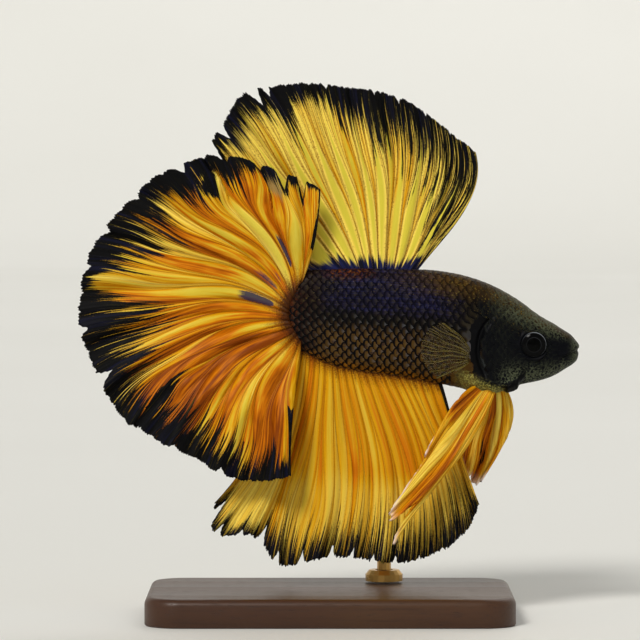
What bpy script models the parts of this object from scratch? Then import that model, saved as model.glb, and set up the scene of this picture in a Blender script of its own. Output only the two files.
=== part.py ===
"""A long-finned betta fish, life size, held over a flat base by one bent rod.

All sizes are in metres. X runs from the tail to the snout, Y away from the fish's right
side and Z up. The origin is the middle of the base's underside. Places on the fish are
shares of its body length, measured from the root of the tail fin.
"""

import math
from dataclasses import dataclass
from typing import Callable

import bmesh
import bpy
import numpy as np
from mathutils import Matrix, Vector

# Driving dimensions
BODY_LENGTH = 0.042  # snout to the root of the tail fin
TAIL_ROOT = Vector((-0.0067, 0.0, 0.0426))
FIN_THICKNESS = 0.00055
GAP = 0.0003  # between pieces that would touch

# The body's outline: along, back, belly and half width, in shares of the body length
BODY_STATIONS = np.array((
    (0.00, 0.112, -0.078, 0.030),
    (0.06, 0.153, -0.110, 0.038),
    (0.16, 0.166, -0.157, 0.051),
    (0.27, 0.169, -0.181, 0.063),
    (0.40, 0.167, -0.199, 0.077),
    (0.53, 0.160, -0.224, 0.088),
    (0.63, 0.140, -0.238, 0.093),
    (0.72, 0.106, -0.240, 0.092),
    (0.80, 0.060, -0.228, 0.087),
    (0.87, 0.008, -0.204, 0.077),
    (0.94, -0.040, -0.166, 0.057),
    (1.00, -0.083, -0.126, 0.036),
))
TAIL_ROUNDING = 0.045
SNOUT_ROUNDING = 0.035
WIDEST_AT = 0.52  # height of the greatest width, from belly to back
BACK_FULLNESS = 2.15  # superellipse powers of the section
BELLY_FULLNESS = 1.95
BODY_SIDES = 26
BODY_RINGS = 30

# Where the body is parted, in shares of the body length
STALK_FRONT = 0.125
HEAD_REAR = 0.662

# Gill cover: an oval plate on each side of the head
GILL_CENTRE = (0.732, -0.092)
GILL_REACH = (0.058, 0.108)
GILL_DEPTH = 0.0018  # from the mid plane to the plate's inner face

# Lower jaw: what lies below the mouth line at the snout
MOUTH_CORNER = (0.925, -0.137)
MOUTH_RISE = math.radians(22)
JAW_BLOCK = 0.006

# Eyes
EYE_CENTRE = (0.8475, -0.088)
EYE_RADIUS = 0.00175
EYE_FLATNESS = 0.74
EYE_STANDS_OUT = 0.0004

# Stand
BASE_SIZE = (0.052, 0.034, 0.004)
BASE_BEVEL = 0.0012
BASE_CORNER = 0.006
ROD_RADIUS = 0.001
ROD_ALONG = 0.346  # where the rod meets the far flank, as a share of the body length
ROD_HEIGHT = -0.012
ROD_BEND = 0.0052
COLLAR_RADIUS = 0.0027
COLLAR_HEIGHT = 0.0016


@dataclass
class Fin:
    """A fin as a fan of rays, read smoothly between a few guide rays.

    Each guide holds the tip's direction and distance from the fin's centre, then the
    ray's own direction at its root and at its tip. Directions are degrees in the XZ
    plane, 0 towards the snout and 90 up; lengths are shares of the body length.
    """

    name: str
    centre: tuple
    guides: tuple
    root: Callable  # share across the fan -> (along, height) of the ray's root
    side: Callable  # share across the fan, share along the ray -> sideways place
    pleats: int
    pleat_depth: float
    scallop: float
    columns: int
    rows: int
    colour: tuple
    stiffness: float = 0.36  # reach of a ray's end handles, as a share of its length


def smooth_step(value):
    value = min(max(value, 0.0), 1.0)
    return value * value * (3 - 2 * value)


def mix(low, high, share):
    return low + (high - low) * share


def curve_through(places, values, at):
    """A smooth curve through the points (places, values), read at one place."""
    slopes = np.gradient(values, places)
    index = int(np.clip(np.searchsorted(places, at, side="right") - 1, 0, len(places) - 2))
    width = places[index + 1] - places[index]
    s = (at - places[index]) / width
    start = values[index] * (1 + 2 * s) * (1 - s) ** 2 + slopes[index] * width * s * (1 - s) ** 2
    end = values[index + 1] * s * s * (3 - 2 * s) - slopes[index + 1] * width * s * s * (1 - s)
    return start + end


def at_fish(along, sideways, height):
    """World place of a point given in shares of the body length."""
    return TAIL_ROOT + Vector((along, sideways, height)) * BODY_LENGTH


# ---------------------------------------------------------------- body

def body_section(along):
    """Back height, belly height and half width of the body at a share of its length."""
    places = BODY_STATIONS[:, 0]
    back, belly, half = (curve_through(places, BODY_STATIONS[:, k], along) for k in (1, 2, 3))
    return back, belly, half


def end_rounding(along):
    """How much of the section is left near the two rounded ends."""
    near_tail = min(along / TAIL_ROUNDING, 1.0)
    near_snout = min((1 - along) / SNOUT_ROUNDING, 1.0)
    near = max(min(near_tail, near_snout), 0.0)
    return math.sqrt(1 - (1 - near) ** 2)


def body_point(unit):
    """The body's surface for a point of the unit sphere whose poles lie on X."""
    along = 0.5 * (1 + unit.x)
    back, belly, half = body_section(along)
    middle = mix(belly, back, WIDEST_AT)
    across = math.hypot(unit.y, unit.z)
    up = unit.z / across if across > 1e-6 else 0.0
    out = unit.y / across if across > 1e-6 else 0.0
    power = 2 / (BACK_FULLNESS if up > 0 else BELLY_FULLNESS)
    reach = (back - middle) if up > 0 else (middle - belly)
    rounding = end_rounding(along)
    height = math.copysign(abs(up) ** power, up) * reach * rounding
    sideways = math.copysign(abs(out) ** power, out) * half * rounding
    return at_fish(along, sideways, middle + height)


def body_form(name, grow, collection):
    """The whole body as one closed form, grown outwards by a distance."""
    mesh = bmesh.new()
    turn = Matrix.Rotation(math.pi / 2, 4, "Y")
    bmesh.ops.create_uvsphere(
        mesh, u_segments=BODY_SIDES, v_segments=BODY_RINGS, radius=1.0, matrix=turn
    )
    for vertex in mesh.verts:
        vertex.co = body_point(vertex.co)
    mesh.normal_update()
    for vertex in mesh.verts:
        vertex.co += vertex.normal * grow
    return finished(name, mesh, collection)


# ---------------------------------------------------------------- making objects

def finished(name, mesh, collection):
    """Turns a bmesh into an object of the collection."""
    bmesh.ops.recalc_face_normals(mesh, faces=mesh.faces)
    data = bpy.data.meshes.new(name)
    mesh.to_mesh(data)
    mesh.free()
    obj = bpy.data.objects.new(name, data)
    collection.objects.link(obj)
    return obj


def paint(obj, colour, roughness, metallic=0.0):
    """Gives an object its own Principled material."""
    material = bpy.data.materials.new(obj.name)
    material.use_nodes = True
    shader = material.node_tree.nodes["Principled BSDF"]
    shader.inputs["Base Color"].default_value = (*colour, 1.0)
    shader.inputs["Roughness"].default_value = roughness
    shader.inputs["Metallic"].default_value = metallic
    obj.data.materials.append(material)


def smooth(obj, angle=40):
    obj.data.shade_smooth()
    obj.data.set_sharp_from_angle(angle=math.radians(angle))


def boolean(obj, operation, cutter):
    modifier = obj.modifiers.new(f"{operation.title()} {cutter.name}", "BOOLEAN")
    modifier.operation = operation
    modifier.solver = "EXACT"
    modifier.object = cutter


def as_cutter(obj):
    obj.hide_render = True
    obj.display_type = "WIRE"
    return obj


def block(name, low, high, collection):
    """A box between two corners."""
    mesh = bmesh.new()
    size = Vector(high) - Vector(low)
    middle = (Vector(high) + Vector(low)) / 2
    bmesh.ops.create_cube(mesh, size=1.0, matrix=Matrix.Translation(middle) @ Matrix.Diagonal((*size, 1)))
    return as_cutter(finished(name, mesh, collection))


def slice_along(name, start, end, collection):
    """A box that holds the body between two shares of its length."""
    low = at_fish(start, -0.3, -0.5)
    high = at_fish(end, 0.3, 0.5)
    return block(name, low, high, collection)


# ---------------------------------------------------------------- body parts

def gill_cutter(name, side, grow, collection):
    """An oval cylinder that stands out sideways from the gill cover's inner face."""
    inner = GILL_DEPTH - grow
    outer = 0.2 * BODY_LENGTH
    place = at_fish(GILL_CENTRE[0], 0, GILL_CENTRE[1]) + Vector((0, side * (inner + outer) / 2, 0))
    reach = [share * BODY_LENGTH + grow for share in GILL_REACH]
    shape = Matrix.Translation(place) @ Matrix.Diagonal((reach[0], outer - inner, reach[1], 1))
    mesh = bmesh.new()
    bmesh.ops.create_cone(
        mesh, cap_ends=True, segments=20, radius1=1, radius2=1, depth=1,
        matrix=shape @ Matrix.Rotation(math.pi / 2, 4, "X"),
    )
    return as_cutter(finished(name, mesh, collection))


def jaw_cutter(name, grow, collection):
    """A block tilted along the mouth line, ahead of and below the mouth's corner."""
    corner = at_fish(MOUTH_CORNER[0], 0, MOUTH_CORNER[1])
    tilt = Matrix.Rotation(-MOUTH_RISE, 4, "Y")
    centre = Vector((JAW_BLOCK / 2, 0, -JAW_BLOCK / 2))
    size = JAW_BLOCK + 2 * grow
    mesh = bmesh.new()
    bmesh.ops.create_cube(
        mesh, size=size,
        matrix=Matrix.Translation(corner) @ tilt @ Matrix.Translation(centre) @ Matrix.Diagonal((1, 3, 1, 1)),
    )
    return as_cutter(finished(name, mesh, collection))


def eye_place(side):
    """Centre of an eyeball, a little proud of the head's side."""
    back, belly, half = body_section(EYE_CENTRE[0])
    out = half * BODY_LENGTH + EYE_STANDS_OUT - EYE_RADIUS * EYE_FLATNESS
    return at_fish(EYE_CENTRE[0], 0, EYE_CENTRE[1]) + Vector((0, side * out, 0))


def eyeball(name, side, grow, collection):
    radius = EYE_RADIUS + grow
    flat = Matrix.Diagonal((1, (EYE_RADIUS * EYE_FLATNESS + grow) / radius, 1, 1))
    turn = Matrix.Rotation(math.pi / 2, 4, "X")
    mesh = bmesh.new()
    bmesh.ops.create_uvsphere(
        mesh, u_segments=18, v_segments=10, radius=radius,
        matrix=Matrix.Translation(eye_place(side)) @ flat @ turn,
    )
    return finished(name, mesh, collection)


def make_body(parts, cutters):
    """Head, jaw, gill covers, trunk and tail stalk, parted from one whole form."""
    half_gap = GAP / 2 / BODY_LENGTH
    regions = {
        "tail_stalk": (-0.1, STALK_FRONT - half_gap),
        "trunk": (STALK_FRONT + half_gap, HEAD_REAR - half_gap),
        "head": (HEAD_REAR + half_gap, 1.1),
    }
    colours = {
        "tail_stalk": (0.035, 0.012, 0.010),
        "trunk": (0.022, 0.016, 0.020),
        "head": (0.012, 0.014, 0.020),
    }
    pieces = {}
    for name, (start, end) in regions.items():
        piece = body_form(name, 0, parts)
        boolean(piece, "INTERSECT", slice_along(f"{name}_slice", start, end, cutters))
        paint(piece, colours[name], 0.38, 0.25)
        smooth(piece)
        pieces[name] = piece
    jaw = body_form("lower_jaw", 0, parts)
    boolean(jaw, "INTERSECT", jaw_cutter("jaw_block", 0, cutters))
    paint(jaw, (0.020, 0.022, 0.026), 0.4, 0.2)
    smooth(jaw)
    boolean(pieces["head"], "DIFFERENCE", jaw_cutter("jaw_room", GAP, cutters))
    for label, side in (("right", -1), ("left", 1)):
        cover = body_form(f"gill_cover_{label}", 0, parts)
        boolean(cover, "INTERSECT", gill_cutter(f"gill_block_{label}", side, 0, cutters))
        paint(cover, (0.030, 0.034, 0.036), 0.36, 0.3)
        smooth(cover)
        boolean(pieces["head"], "DIFFERENCE", gill_cutter(f"gill_room_{label}", side, GAP, cutters))
        socket = as_cutter(eyeball(f"eye_socket_{label}", side, GAP, cutters))
        boolean(pieces["head"], "DIFFERENCE", socket)
        eye = eyeball(f"eye_{label}", side, 0, parts)
        paint(eye, (0.004, 0.004, 0.006), 0.08)
        eye.data.shade_smooth()
        pieces[cover.name] = cover
        pieces[eye.name] = eye
    pieces["lower_jaw"] = jaw
    return pieces


# ---------------------------------------------------------------- fins

def guide_values(fin, across):
    """Tip angle, tip distance, root direction and tip direction at a share across the fan."""
    table = np.array(fin.guides, float)
    places = np.linspace(0, 1, len(table))
    return [curve_through(places, table[:, k], across) for k in range(4)]


def towards(degrees, length):
    turn = math.radians(degrees)
    return np.array((math.cos(turn), math.sin(turn))) * length


def fin_point(fin, across, along):
    """World place of the fin's middle surface, across the fan and along the ray."""
    tip_angle, distance, root_turn, tip_turn = guide_values(fin, across)
    root = np.array(fin.root(across))
    tip = np.array(fin.centre) + towards(tip_angle, distance)
    wave = math.cos(2 * math.pi * fin.pleats * across)
    tip = root + (tip - root) * (1 - fin.scallop * (0.5 + 0.5 * wave))
    reach = fin.stiffness * float(np.hypot(*(tip - root)))
    near = root + towards(root_turn, reach)
    far = tip - towards(tip_turn, reach)
    s = 1 - along
    flat = s**3 * root + 3 * s * s * along * near + 3 * s * along * along * far + along**3 * tip
    folds = fin.pleat_depth * along**1.3 * math.sin(2 * math.pi * fin.pleats * across)
    return at_fish(flat[0], fin.side(across, along) + folds, flat[1])


def make_fin(fin, keep_out, parts):
    """A grid shaped by the fin's rays, thickened, and trimmed where it meets the body."""
    mesh = bmesh.new()
    bmesh.ops.create_grid(mesh, x_segments=fin.columns, y_segments=fin.rows, size=1.0)
    for vertex in mesh.verts:
        across, along = 0.5 + 0.5 * vertex.co.x, 0.5 + 0.5 * vertex.co.y
        vertex.co = fin_point(fin, across, along)
    obj = finished(fin.name, mesh, parts)
    thicken = obj.modifiers.new("Thickness", "SOLIDIFY")
    thicken.thickness = FIN_THICKNESS
    thicken.offset = 0.0
    boolean(obj, "DIFFERENCE", keep_out)
    paint(obj, fin.colour, 0.45)
    smooth(obj, 60)
    return obj


def caudal_root(across):
    """An arc just inside the rear edge of the tail stalk, from its top to its foot."""
    return 0.064 - 0.044 * math.sin(math.pi * across), mix(0.114, -0.082, across)


def caudal_side(across, along):
    """The tail fin passes on the near side of the dorsal and anal fins."""
    outer = abs(2 * across - 1) ** 1.5
    return -0.012 * outer - (0.018 + 0.062 * outer) * smooth_step(along / 0.6)


def dorsal_root(across):
    return mix(0.200, 0.436, across), 0.135


def dorsal_side(across, along):
    return mix(0.030, -0.010, across) * smooth_step(along / 0.5)


def anal_root(across):
    along = mix(0.040, 0.532, across**1.5)
    return along, body_section(along)[1] + 0.030


def anal_side(across, along):
    return 0.012 * (1 - across) + mix(0.034, 0.006, across) * smooth_step(along / 0.5)


def median_fins():
    """The tail, dorsal and anal fins."""
    caudal = Fin(
        name="caudal_fin", centre=(0.0, 0.0), root=caudal_root, side=caudal_side,
        guides=(
            (74, 0.46, 69, 89), (93, 0.51, 89, 100), (112, 0.60, 104, 124),
            (131, 0.65, 118, 144), (147, 0.67, 131, 162), (163, 0.70, 146, 174),
            (179, 0.70, 160, 192), (195, 0.675, 170, 215), (209, 0.655, 180, 232),
            (222, 0.61, 193, 242), (238, 0.565, 211, 254), (255, 0.575, 232, 264),
            (273, 0.540, 262, 272),
        ),
        pleats=11, pleat_depth=0.020, scallop=0.03, columns=44, rows=8, colour=(0.80, 0.36, 0.03),
    )
    dorsal = Fin(
        name="dorsal_fin", centre=(0.314, 0.167), root=dorsal_root, side=dorsal_side,
        guides=(
            (150, 0.69, 152, 146), (138, 0.72, 132, 138), (127, 0.755, 119, 128),
            (116, 0.70, 108, 118), (105, 0.655, 99, 108), (95, 0.62, 91, 100),
            (84, 0.60, 79, 96), (73, 0.562, 67, 98), (61, 0.538, 59, 102),
            (50, 0.522, 54, 107),
        ),
        pleats=8, pleat_depth=0.015, scallop=0.03, columns=32, rows=7, colour=(0.78, 0.55, 0.12),
    )
    anal = Fin(
        name="anal_fin", centre=(0.285, -0.183), root=anal_root, side=anal_side,
        guides=(
            (221, 0.690, 260, 226), (227, 0.770, 264, 232), (236, 0.690, 267, 244),
            (246, 0.730, 270, 262), (257, 0.660, 273, 256), (267, 0.650, 281, 254),
            (277, 0.665, 288, 257), (287, 0.673, 293, 262), (296, 0.662, 293, 270),
            (304, 0.635, 290, 281), (310, 0.594, 287, 292),
        ),
        pleats=10, pleat_depth=0.019, scallop=0.035, columns=40, rows=7, colour=(0.76, 0.37, 0.04),
    )
    return caudal, dorsal, anal


def ventral_fins():
    """The pair under the breast: the right one trails back, the left one hangs down."""
    right = Fin(
        name="ventral_fin_right", centre=(0.722, -0.250),
        root=lambda across: (mix(0.690, 0.728, across), -0.215),
        side=lambda across, along: -0.030 - 0.075 * smooth_step(along / 0.5),
        guides=(
            (217, 0.275, 188, 238), (225, 0.400, 214, 231), (228, 0.560, 231, 222),
            (231.5, 0.590, 242, 226), (236, 0.630, 256, 242),
        ),
        pleats=1, pleat_depth=0.003, scallop=0.0, columns=8, rows=8, colour=(0.85, 0.38, 0.05),
    )
    left = Fin(
        name="ventral_fin_left", centre=(0.722, -0.250),
        root=lambda across: (mix(0.700, 0.742, across), -0.212),
        side=lambda across, along: 0.030 + 0.030 * smooth_step(along / 0.5),
        guides=(
            (246, 0.270, 256, 240), (254, 0.325, 265, 244), (260, 0.325, 276, 246),
            (266, 0.295, 287, 248), (272, 0.250, 298, 252),
        ),
        pleats=1, pleat_depth=0.010, scallop=0.0, columns=8, rows=8, colour=(0.84, 0.40, 0.06),
        stiffness=0.46,
    )
    return right, left


def pectoral_fin(name, side):
    """A small fan behind the gill cover that stands out and back from the flank."""
    back, belly, half = body_section(0.628)
    return Fin(
        name=name, centre=(0.628, -0.125),
        root=lambda across: (mix(0.630, 0.626, across), mix(-0.100, -0.150, across)),
        side=lambda across, along: side * (half - 0.012 + 0.085 * along),
        guides=(
            (128, 0.150, 112, 140), (148, 0.172, 136, 158), (170, 0.172, 166, 176),
            (192, 0.158, 196, 190), (214, 0.132, 224, 208),
        ),
        pleats=3, pleat_depth=0.004, scallop=0.0, columns=9, rows=5, colour=(0.35, 0.32, 0.14),
    )


def make_fins(parts, cutters):
    keep_out = as_cutter(body_form("body_keep_out", GAP, cutters))
    pectorals = (pectoral_fin("pectoral_fin_right", -1), pectoral_fin("pectoral_fin_left", 1))
    return [make_fin(fin, keep_out, parts) for fin in (*median_fins(), *ventral_fins(), *pectorals)]


# ---------------------------------------------------------------- stand

def make_base(parts):
    """A flat plinth with round corners and a softened upper edge."""
    mesh = bmesh.new()
    width, depth, height = BASE_SIZE
    bmesh.ops.create_cube(
        mesh, size=1.0,
        matrix=Matrix.Translation((0, 0, height / 2)) @ Matrix.Diagonal((width, depth, height, 1)),
    )
    uprights = [e for e in mesh.edges if abs(e.verts[0].co.z - e.verts[1].co.z) > height / 2]
    bmesh.ops.bevel(mesh, geom=uprights, offset=BASE_CORNER, segments=5, profile=0.5, affect="EDGES")
    top = [e for e in mesh.edges if all(v.co.z > 0.9 * height for v in e.verts)]
    bmesh.ops.bevel(mesh, geom=top, offset=BASE_BEVEL, segments=2, profile=0.5, affect="EDGES")
    base = finished("stand_base", mesh, parts)
    paint(base, (0.035, 0.018, 0.010), 0.35)
    smooth(base, 30)
    return base


def rod_route():
    """Up from the base behind the fish, then round a bend to the far flank."""
    back, belly, half = body_section(ROD_ALONG)
    end = at_fish(ROD_ALONG, half, ROD_HEIGHT) + Vector((0, GAP + 0.0001, 0))
    pivot = end + Vector((0, 0, -ROD_BEND))
    foot = Vector((end.x, end.y + ROD_BEND, BASE_SIZE[2] + GAP))
    bend = [
        pivot + Vector((0, math.cos(turn), math.sin(turn))) * ROD_BEND
        for turn in np.linspace(0, math.pi / 2, 9)
    ]
    return [foot, *bend]


def make_rod(parts):
    curve = bpy.data.curves.new("stand_rod", "CURVE")
    curve.dimensions = "3D"
    curve.bevel_depth = ROD_RADIUS
    curve.bevel_resolution = 3
    curve.use_fill_caps = True
    route = rod_route()
    spline = curve.splines.new("POLY")
    spline.points.add(len(route) - 1)
    for point, place in zip(spline.points, route):
        point.co = (*place, 1.0)
    rod = bpy.data.objects.new("stand_rod", curve)
    parts.objects.link(rod)
    paint(rod, (0.55, 0.42, 0.20), 0.25, 1.0)
    return rod


def make_collar(parts):
    """A turned ring round the foot of the rod."""
    inner, outer, height = ROD_RADIUS + GAP, COLLAR_RADIUS, COLLAR_HEIGHT
    profile = ((outer * 0.8, height), (outer, height * 0.6), (outer, 0.0), (inner, 0.0), (inner, height))
    mesh = bmesh.new()
    ring = [mesh.verts.new((radius, 0, level)) for radius, level in profile]
    for near, far in zip(ring, ring[1:] + ring[:1]):
        mesh.edges.new((near, far))
    data = bpy.data.meshes.new("stand_collar")
    mesh.to_mesh(data)
    mesh.free()
    collar = bpy.data.objects.new("stand_collar", data)
    parts.objects.link(collar)
    foot = rod_route()[0]
    collar.location = (foot.x, foot.y, BASE_SIZE[2] + GAP)
    turned = collar.modifiers.new("Turned", "SCREW")
    turned.steps = 20
    turned.render_steps = 20
    turned.use_merge_vertices = True
    turned.merge_threshold = 0.00001
    paint(collar, (0.55, 0.42, 0.20), 0.25, 1.0)
    return collar


# ---------------------------------------------------------------- whole

def clear_scene():
    for obj in list(bpy.data.objects):
        bpy.data.objects.remove(obj)


def new_collection(name):
    collection = bpy.data.collections.new(name)
    bpy.context.scene.collection.children.link(collection)
    return collection


def parent_to(parent, children):
    """Parents without moving: the parent stays at the world's origin."""
    for child in children:
        child.parent = parent


def main():
    clear_scene()
    parts = new_collection("betta_fish")
    cutters = new_collection("cutters")
    fish = bpy.data.objects.new("fish", None)
    parts.objects.link(fish)
    pieces = make_body(parts, cutters)
    fins = make_fins(parts, cutters)
    stand = [make_base(parts), make_rod(parts), make_collar(parts)]
    parent_to(fish, [*pieces.values(), *fins, *stand])


main()
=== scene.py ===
"""The finish of a life-size betta fish on its stand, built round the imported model.

Sizes are in metres, in the model's own axes: X towards the snout, Y away from the fish's
right side, Z up. Places on the fish are shares of its body length, measured from the root
of the tail fin as (along, sideways, height).
"""

import math
from dataclasses import dataclass
from typing import Callable

import bpy
import numpy as np
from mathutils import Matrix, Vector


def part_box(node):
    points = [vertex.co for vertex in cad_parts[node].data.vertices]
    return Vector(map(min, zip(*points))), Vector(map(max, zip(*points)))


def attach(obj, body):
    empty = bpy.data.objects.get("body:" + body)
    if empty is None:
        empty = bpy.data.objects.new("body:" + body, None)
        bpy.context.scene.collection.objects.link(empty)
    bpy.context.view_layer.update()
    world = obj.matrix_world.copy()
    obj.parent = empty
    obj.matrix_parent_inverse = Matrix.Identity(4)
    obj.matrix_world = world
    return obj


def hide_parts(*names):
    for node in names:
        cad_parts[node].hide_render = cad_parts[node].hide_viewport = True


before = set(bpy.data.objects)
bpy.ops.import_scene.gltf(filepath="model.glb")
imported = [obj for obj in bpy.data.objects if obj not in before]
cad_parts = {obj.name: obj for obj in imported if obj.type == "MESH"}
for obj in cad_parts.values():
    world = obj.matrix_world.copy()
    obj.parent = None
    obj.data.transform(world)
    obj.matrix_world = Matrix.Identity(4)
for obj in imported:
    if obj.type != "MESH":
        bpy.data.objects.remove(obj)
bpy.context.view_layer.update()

bl_info = {
    "name": "Betta fish model",
    "version": (1, 0, 0),
    "blender": (4, 5, 0),
    "location": "View3D > Sidebar > Betta fish",
    "description": "Builds the skin, scales, eyes and fins of a life-size betta fish on its stand",
    "category": "Object",
}

# ---------------------------------------------------------------- sizes from the frame, and fixed values

EYE_PLACE = (0.8475, -0.088)  # the pupil's middle, along and height
TAIL_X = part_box("tail_stalk")[0].x
BODY_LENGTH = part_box("head")[1].x - TAIL_X
EYE_LOW, EYE_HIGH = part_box("eye_right")
EYE_RIM = 1.08  # radius of the silver rim, in radii of the solid eye
EYE_RADIUS = EYE_RIM * (EYE_HIGH.x - EYE_LOW.x) / 2
EYE_OUT = -EYE_LOW.y  # how far the eye's surface stands from the mid plane
TAIL_ROOT = np.array((TAIL_X, 0.0, (EYE_LOW.z + EYE_HIGH.z) / 2 - EYE_PLACE[1] * BODY_LENGTH))
VIEW_MIDDLE = (0.1257, 0.0, -0.0071)  # where the camera looks, in shares of the body length
MM = 0.001
WHITE, BLACK = (1, 1, 1), (0, 0, 0)
NO_BLACK = -3.0  # darkness of a fin far from its black margin

# ---------------------------------------------------------------- curves and chance


def mix(low, high, share):
    return low + (high - low) * share


def ease(value):
    """A smooth step from 0 to 1 as the value goes from 0 to 1."""
    value = np.clip(value, 0.0, 1.0)
    return value * value * (3 - 2 * value)


def hump(value, place, width):
    return np.exp(-(((value - place) / width) ** 2))


def curve_through(places, values, at):
    """A smooth curve through the points (places, values), read at many places."""
    slopes = np.gradient(values, places)
    index = np.clip(np.searchsorted(places, at, side="right") - 1, 0, len(places) - 2)
    width = places[index + 1] - places[index]
    s = (at - places[index]) / width
    start = values[index] * (1 + 2 * s) * (1 - s) ** 2 + slopes[index] * width * s * (1 - s) ** 2
    end = values[index + 1] * s * s * (3 - 2 * s) - slopes[index + 1] * width * s * s * (1 - s)
    return start + end


def through(knots, at):
    """The smooth curve through a short list of (place, value) pairs."""
    table = np.array(knots, float)
    return curve_through(table[:, 0], table[:, 1], np.clip(at, table[0, 0], table[-1, 0]))


def wander(chance, at, count):
    """A smooth random value from -1 to 1 that changes about count times as at goes from 0 to 1."""
    count = max(int(count), 1)
    knots = chance.uniform(-1, 1, count + 2)
    spot = np.clip(at, 0, 1) * count
    index = spot.astype(int)
    return mix(knots[index], knots[index + 1], ease(spot - index))


def towards(degrees, length):
    turn = np.radians(degrees)
    return np.cos(turn) * length, np.sin(turn) * length


def to_world(along, sideways, height):
    """World places of points given in shares of the body length."""
    shares = np.stack(np.broadcast_arrays(along, sideways, height), axis=-1)
    return TAIL_ROOT + shares * BODY_LENGTH


def unit(vectors):
    return vectors / np.maximum(np.linalg.norm(vectors, axis=-1, keepdims=True), 1e-12)


# ---------------------------------------------------------------- the body's form

# Along, back, belly and half width, in shares of the body length, as in the solids
BODY_STATIONS = np.array((
    (0.00, 0.112, -0.078, 0.030),
    (0.06, 0.153, -0.110, 0.038),
    (0.16, 0.166, -0.157, 0.051),
    (0.27, 0.169, -0.181, 0.063),
    (0.40, 0.167, -0.199, 0.077),
    (0.53, 0.160, -0.224, 0.088),
    (0.63, 0.140, -0.238, 0.093),
    (0.72, 0.106, -0.240, 0.092),
    (0.80, 0.060, -0.228, 0.087),
    (0.87, 0.008, -0.204, 0.077),
    (0.94, -0.040, -0.166, 0.057),
    (1.00, -0.083, -0.126, 0.036),
))
TAIL_ROUNDING = 0.045
SNOUT_ROUNDING = 0.035
WIDEST_AT = 0.52
BACK_FULLNESS = 2.15
BELLY_FULLNESS = 1.95

# Gill cover: the oval that its free edge follows, and the degrees where the edge is free
GILL_CENTRE = (0.745, -0.105)
GILL_REACH = (0.078, 0.113)
GILL_EDGE = (98, 312)
# Mouth: the slit runs forward and up from its corner
MOUTH_CORNER = (0.928, -0.136)
MOUTH_RISE = math.tan(math.radians(22))
NOSTRIL = (0.922, -0.062)


def body_section(along):
    """Back height, belly height and half width of the body at shares of its length."""
    return [curve_through(BODY_STATIONS[:, 0], BODY_STATIONS[:, k], along) for k in (1, 2, 3)]


def end_rounding(along):
    near_tail = np.minimum(along / TAIL_ROUNDING, 1)
    near_snout = np.minimum((1 - along) / SNOUT_ROUNDING, 1)
    near = np.maximum(np.minimum(near_tail, near_snout), 0)
    return np.sqrt(1 - (1 - near) ** 2)


def body_shares(along, turn):
    """The solids' surface, as shares, at an angle that runs from the back over the near side."""
    back, belly, half = body_section(along)
    middle = mix(belly, back, WIDEST_AT)
    up, out = np.cos(turn), -np.sin(turn)
    power = np.where(up > 0, 2 / BACK_FULLNESS, 2 / BELLY_FULLNESS)
    reach = np.where(up > 0, back - middle, middle - belly)
    rounding = end_rounding(along)
    height = middle + np.sign(up) * np.abs(up) ** power * reach * rounding
    sideways = np.sign(out) * np.abs(out) ** power * half * rounding
    return np.stack(np.broadcast_arrays(along, sideways, height), axis=-1)


def even_turns():
    """Angles that part the section's outline into equal lengths, for the girth shares 0 to 1."""
    turns = np.linspace(0, 2 * math.pi, 721)
    outline = body_shares(np.full(721, 0.45), turns)
    steps = np.linalg.norm(np.diff(outline, axis=0), axis=1)
    lengths = np.concatenate(([0], np.cumsum(steps)))
    return lengths / lengths[-1], turns


GIRTHS, TURNS = even_turns()


def gill_depth(along, height):
    """How far a place lies inside the gill cover's edge, in shares, and its direction in degrees."""
    across = (along - GILL_CENTRE[0]) / GILL_REACH[0]
    up = (height - GILL_CENTRE[1]) / GILL_REACH[1]
    radius = np.maximum(np.hypot(across, up), 1e-6)
    real = np.hypot(along - GILL_CENTRE[0], height - GILL_CENTRE[1])
    angle = np.degrees(np.arctan2(up, across)) % 360
    return real * (1 / radius - 1), angle


def gill_share(angle):
    """1 where the gill cover's edge is free, 0 where the cover runs into the head."""
    return ease((angle - GILL_EDGE[0]) / 30) * ease((GILL_EDGE[1] - angle) / 30)


def eye_distance(along, height):
    """Distance from the pupil's middle, in radii of the eye."""
    return np.hypot(along - EYE_PLACE[0], height - EYE_PLACE[1]) * BODY_LENGTH / EYE_RADIUS


def level_at(along, height):
    """Where a height lies between the belly, 0, and the back, 1."""
    back, belly, _ = body_section(along)
    return (height - belly) / (back - belly)


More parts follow.
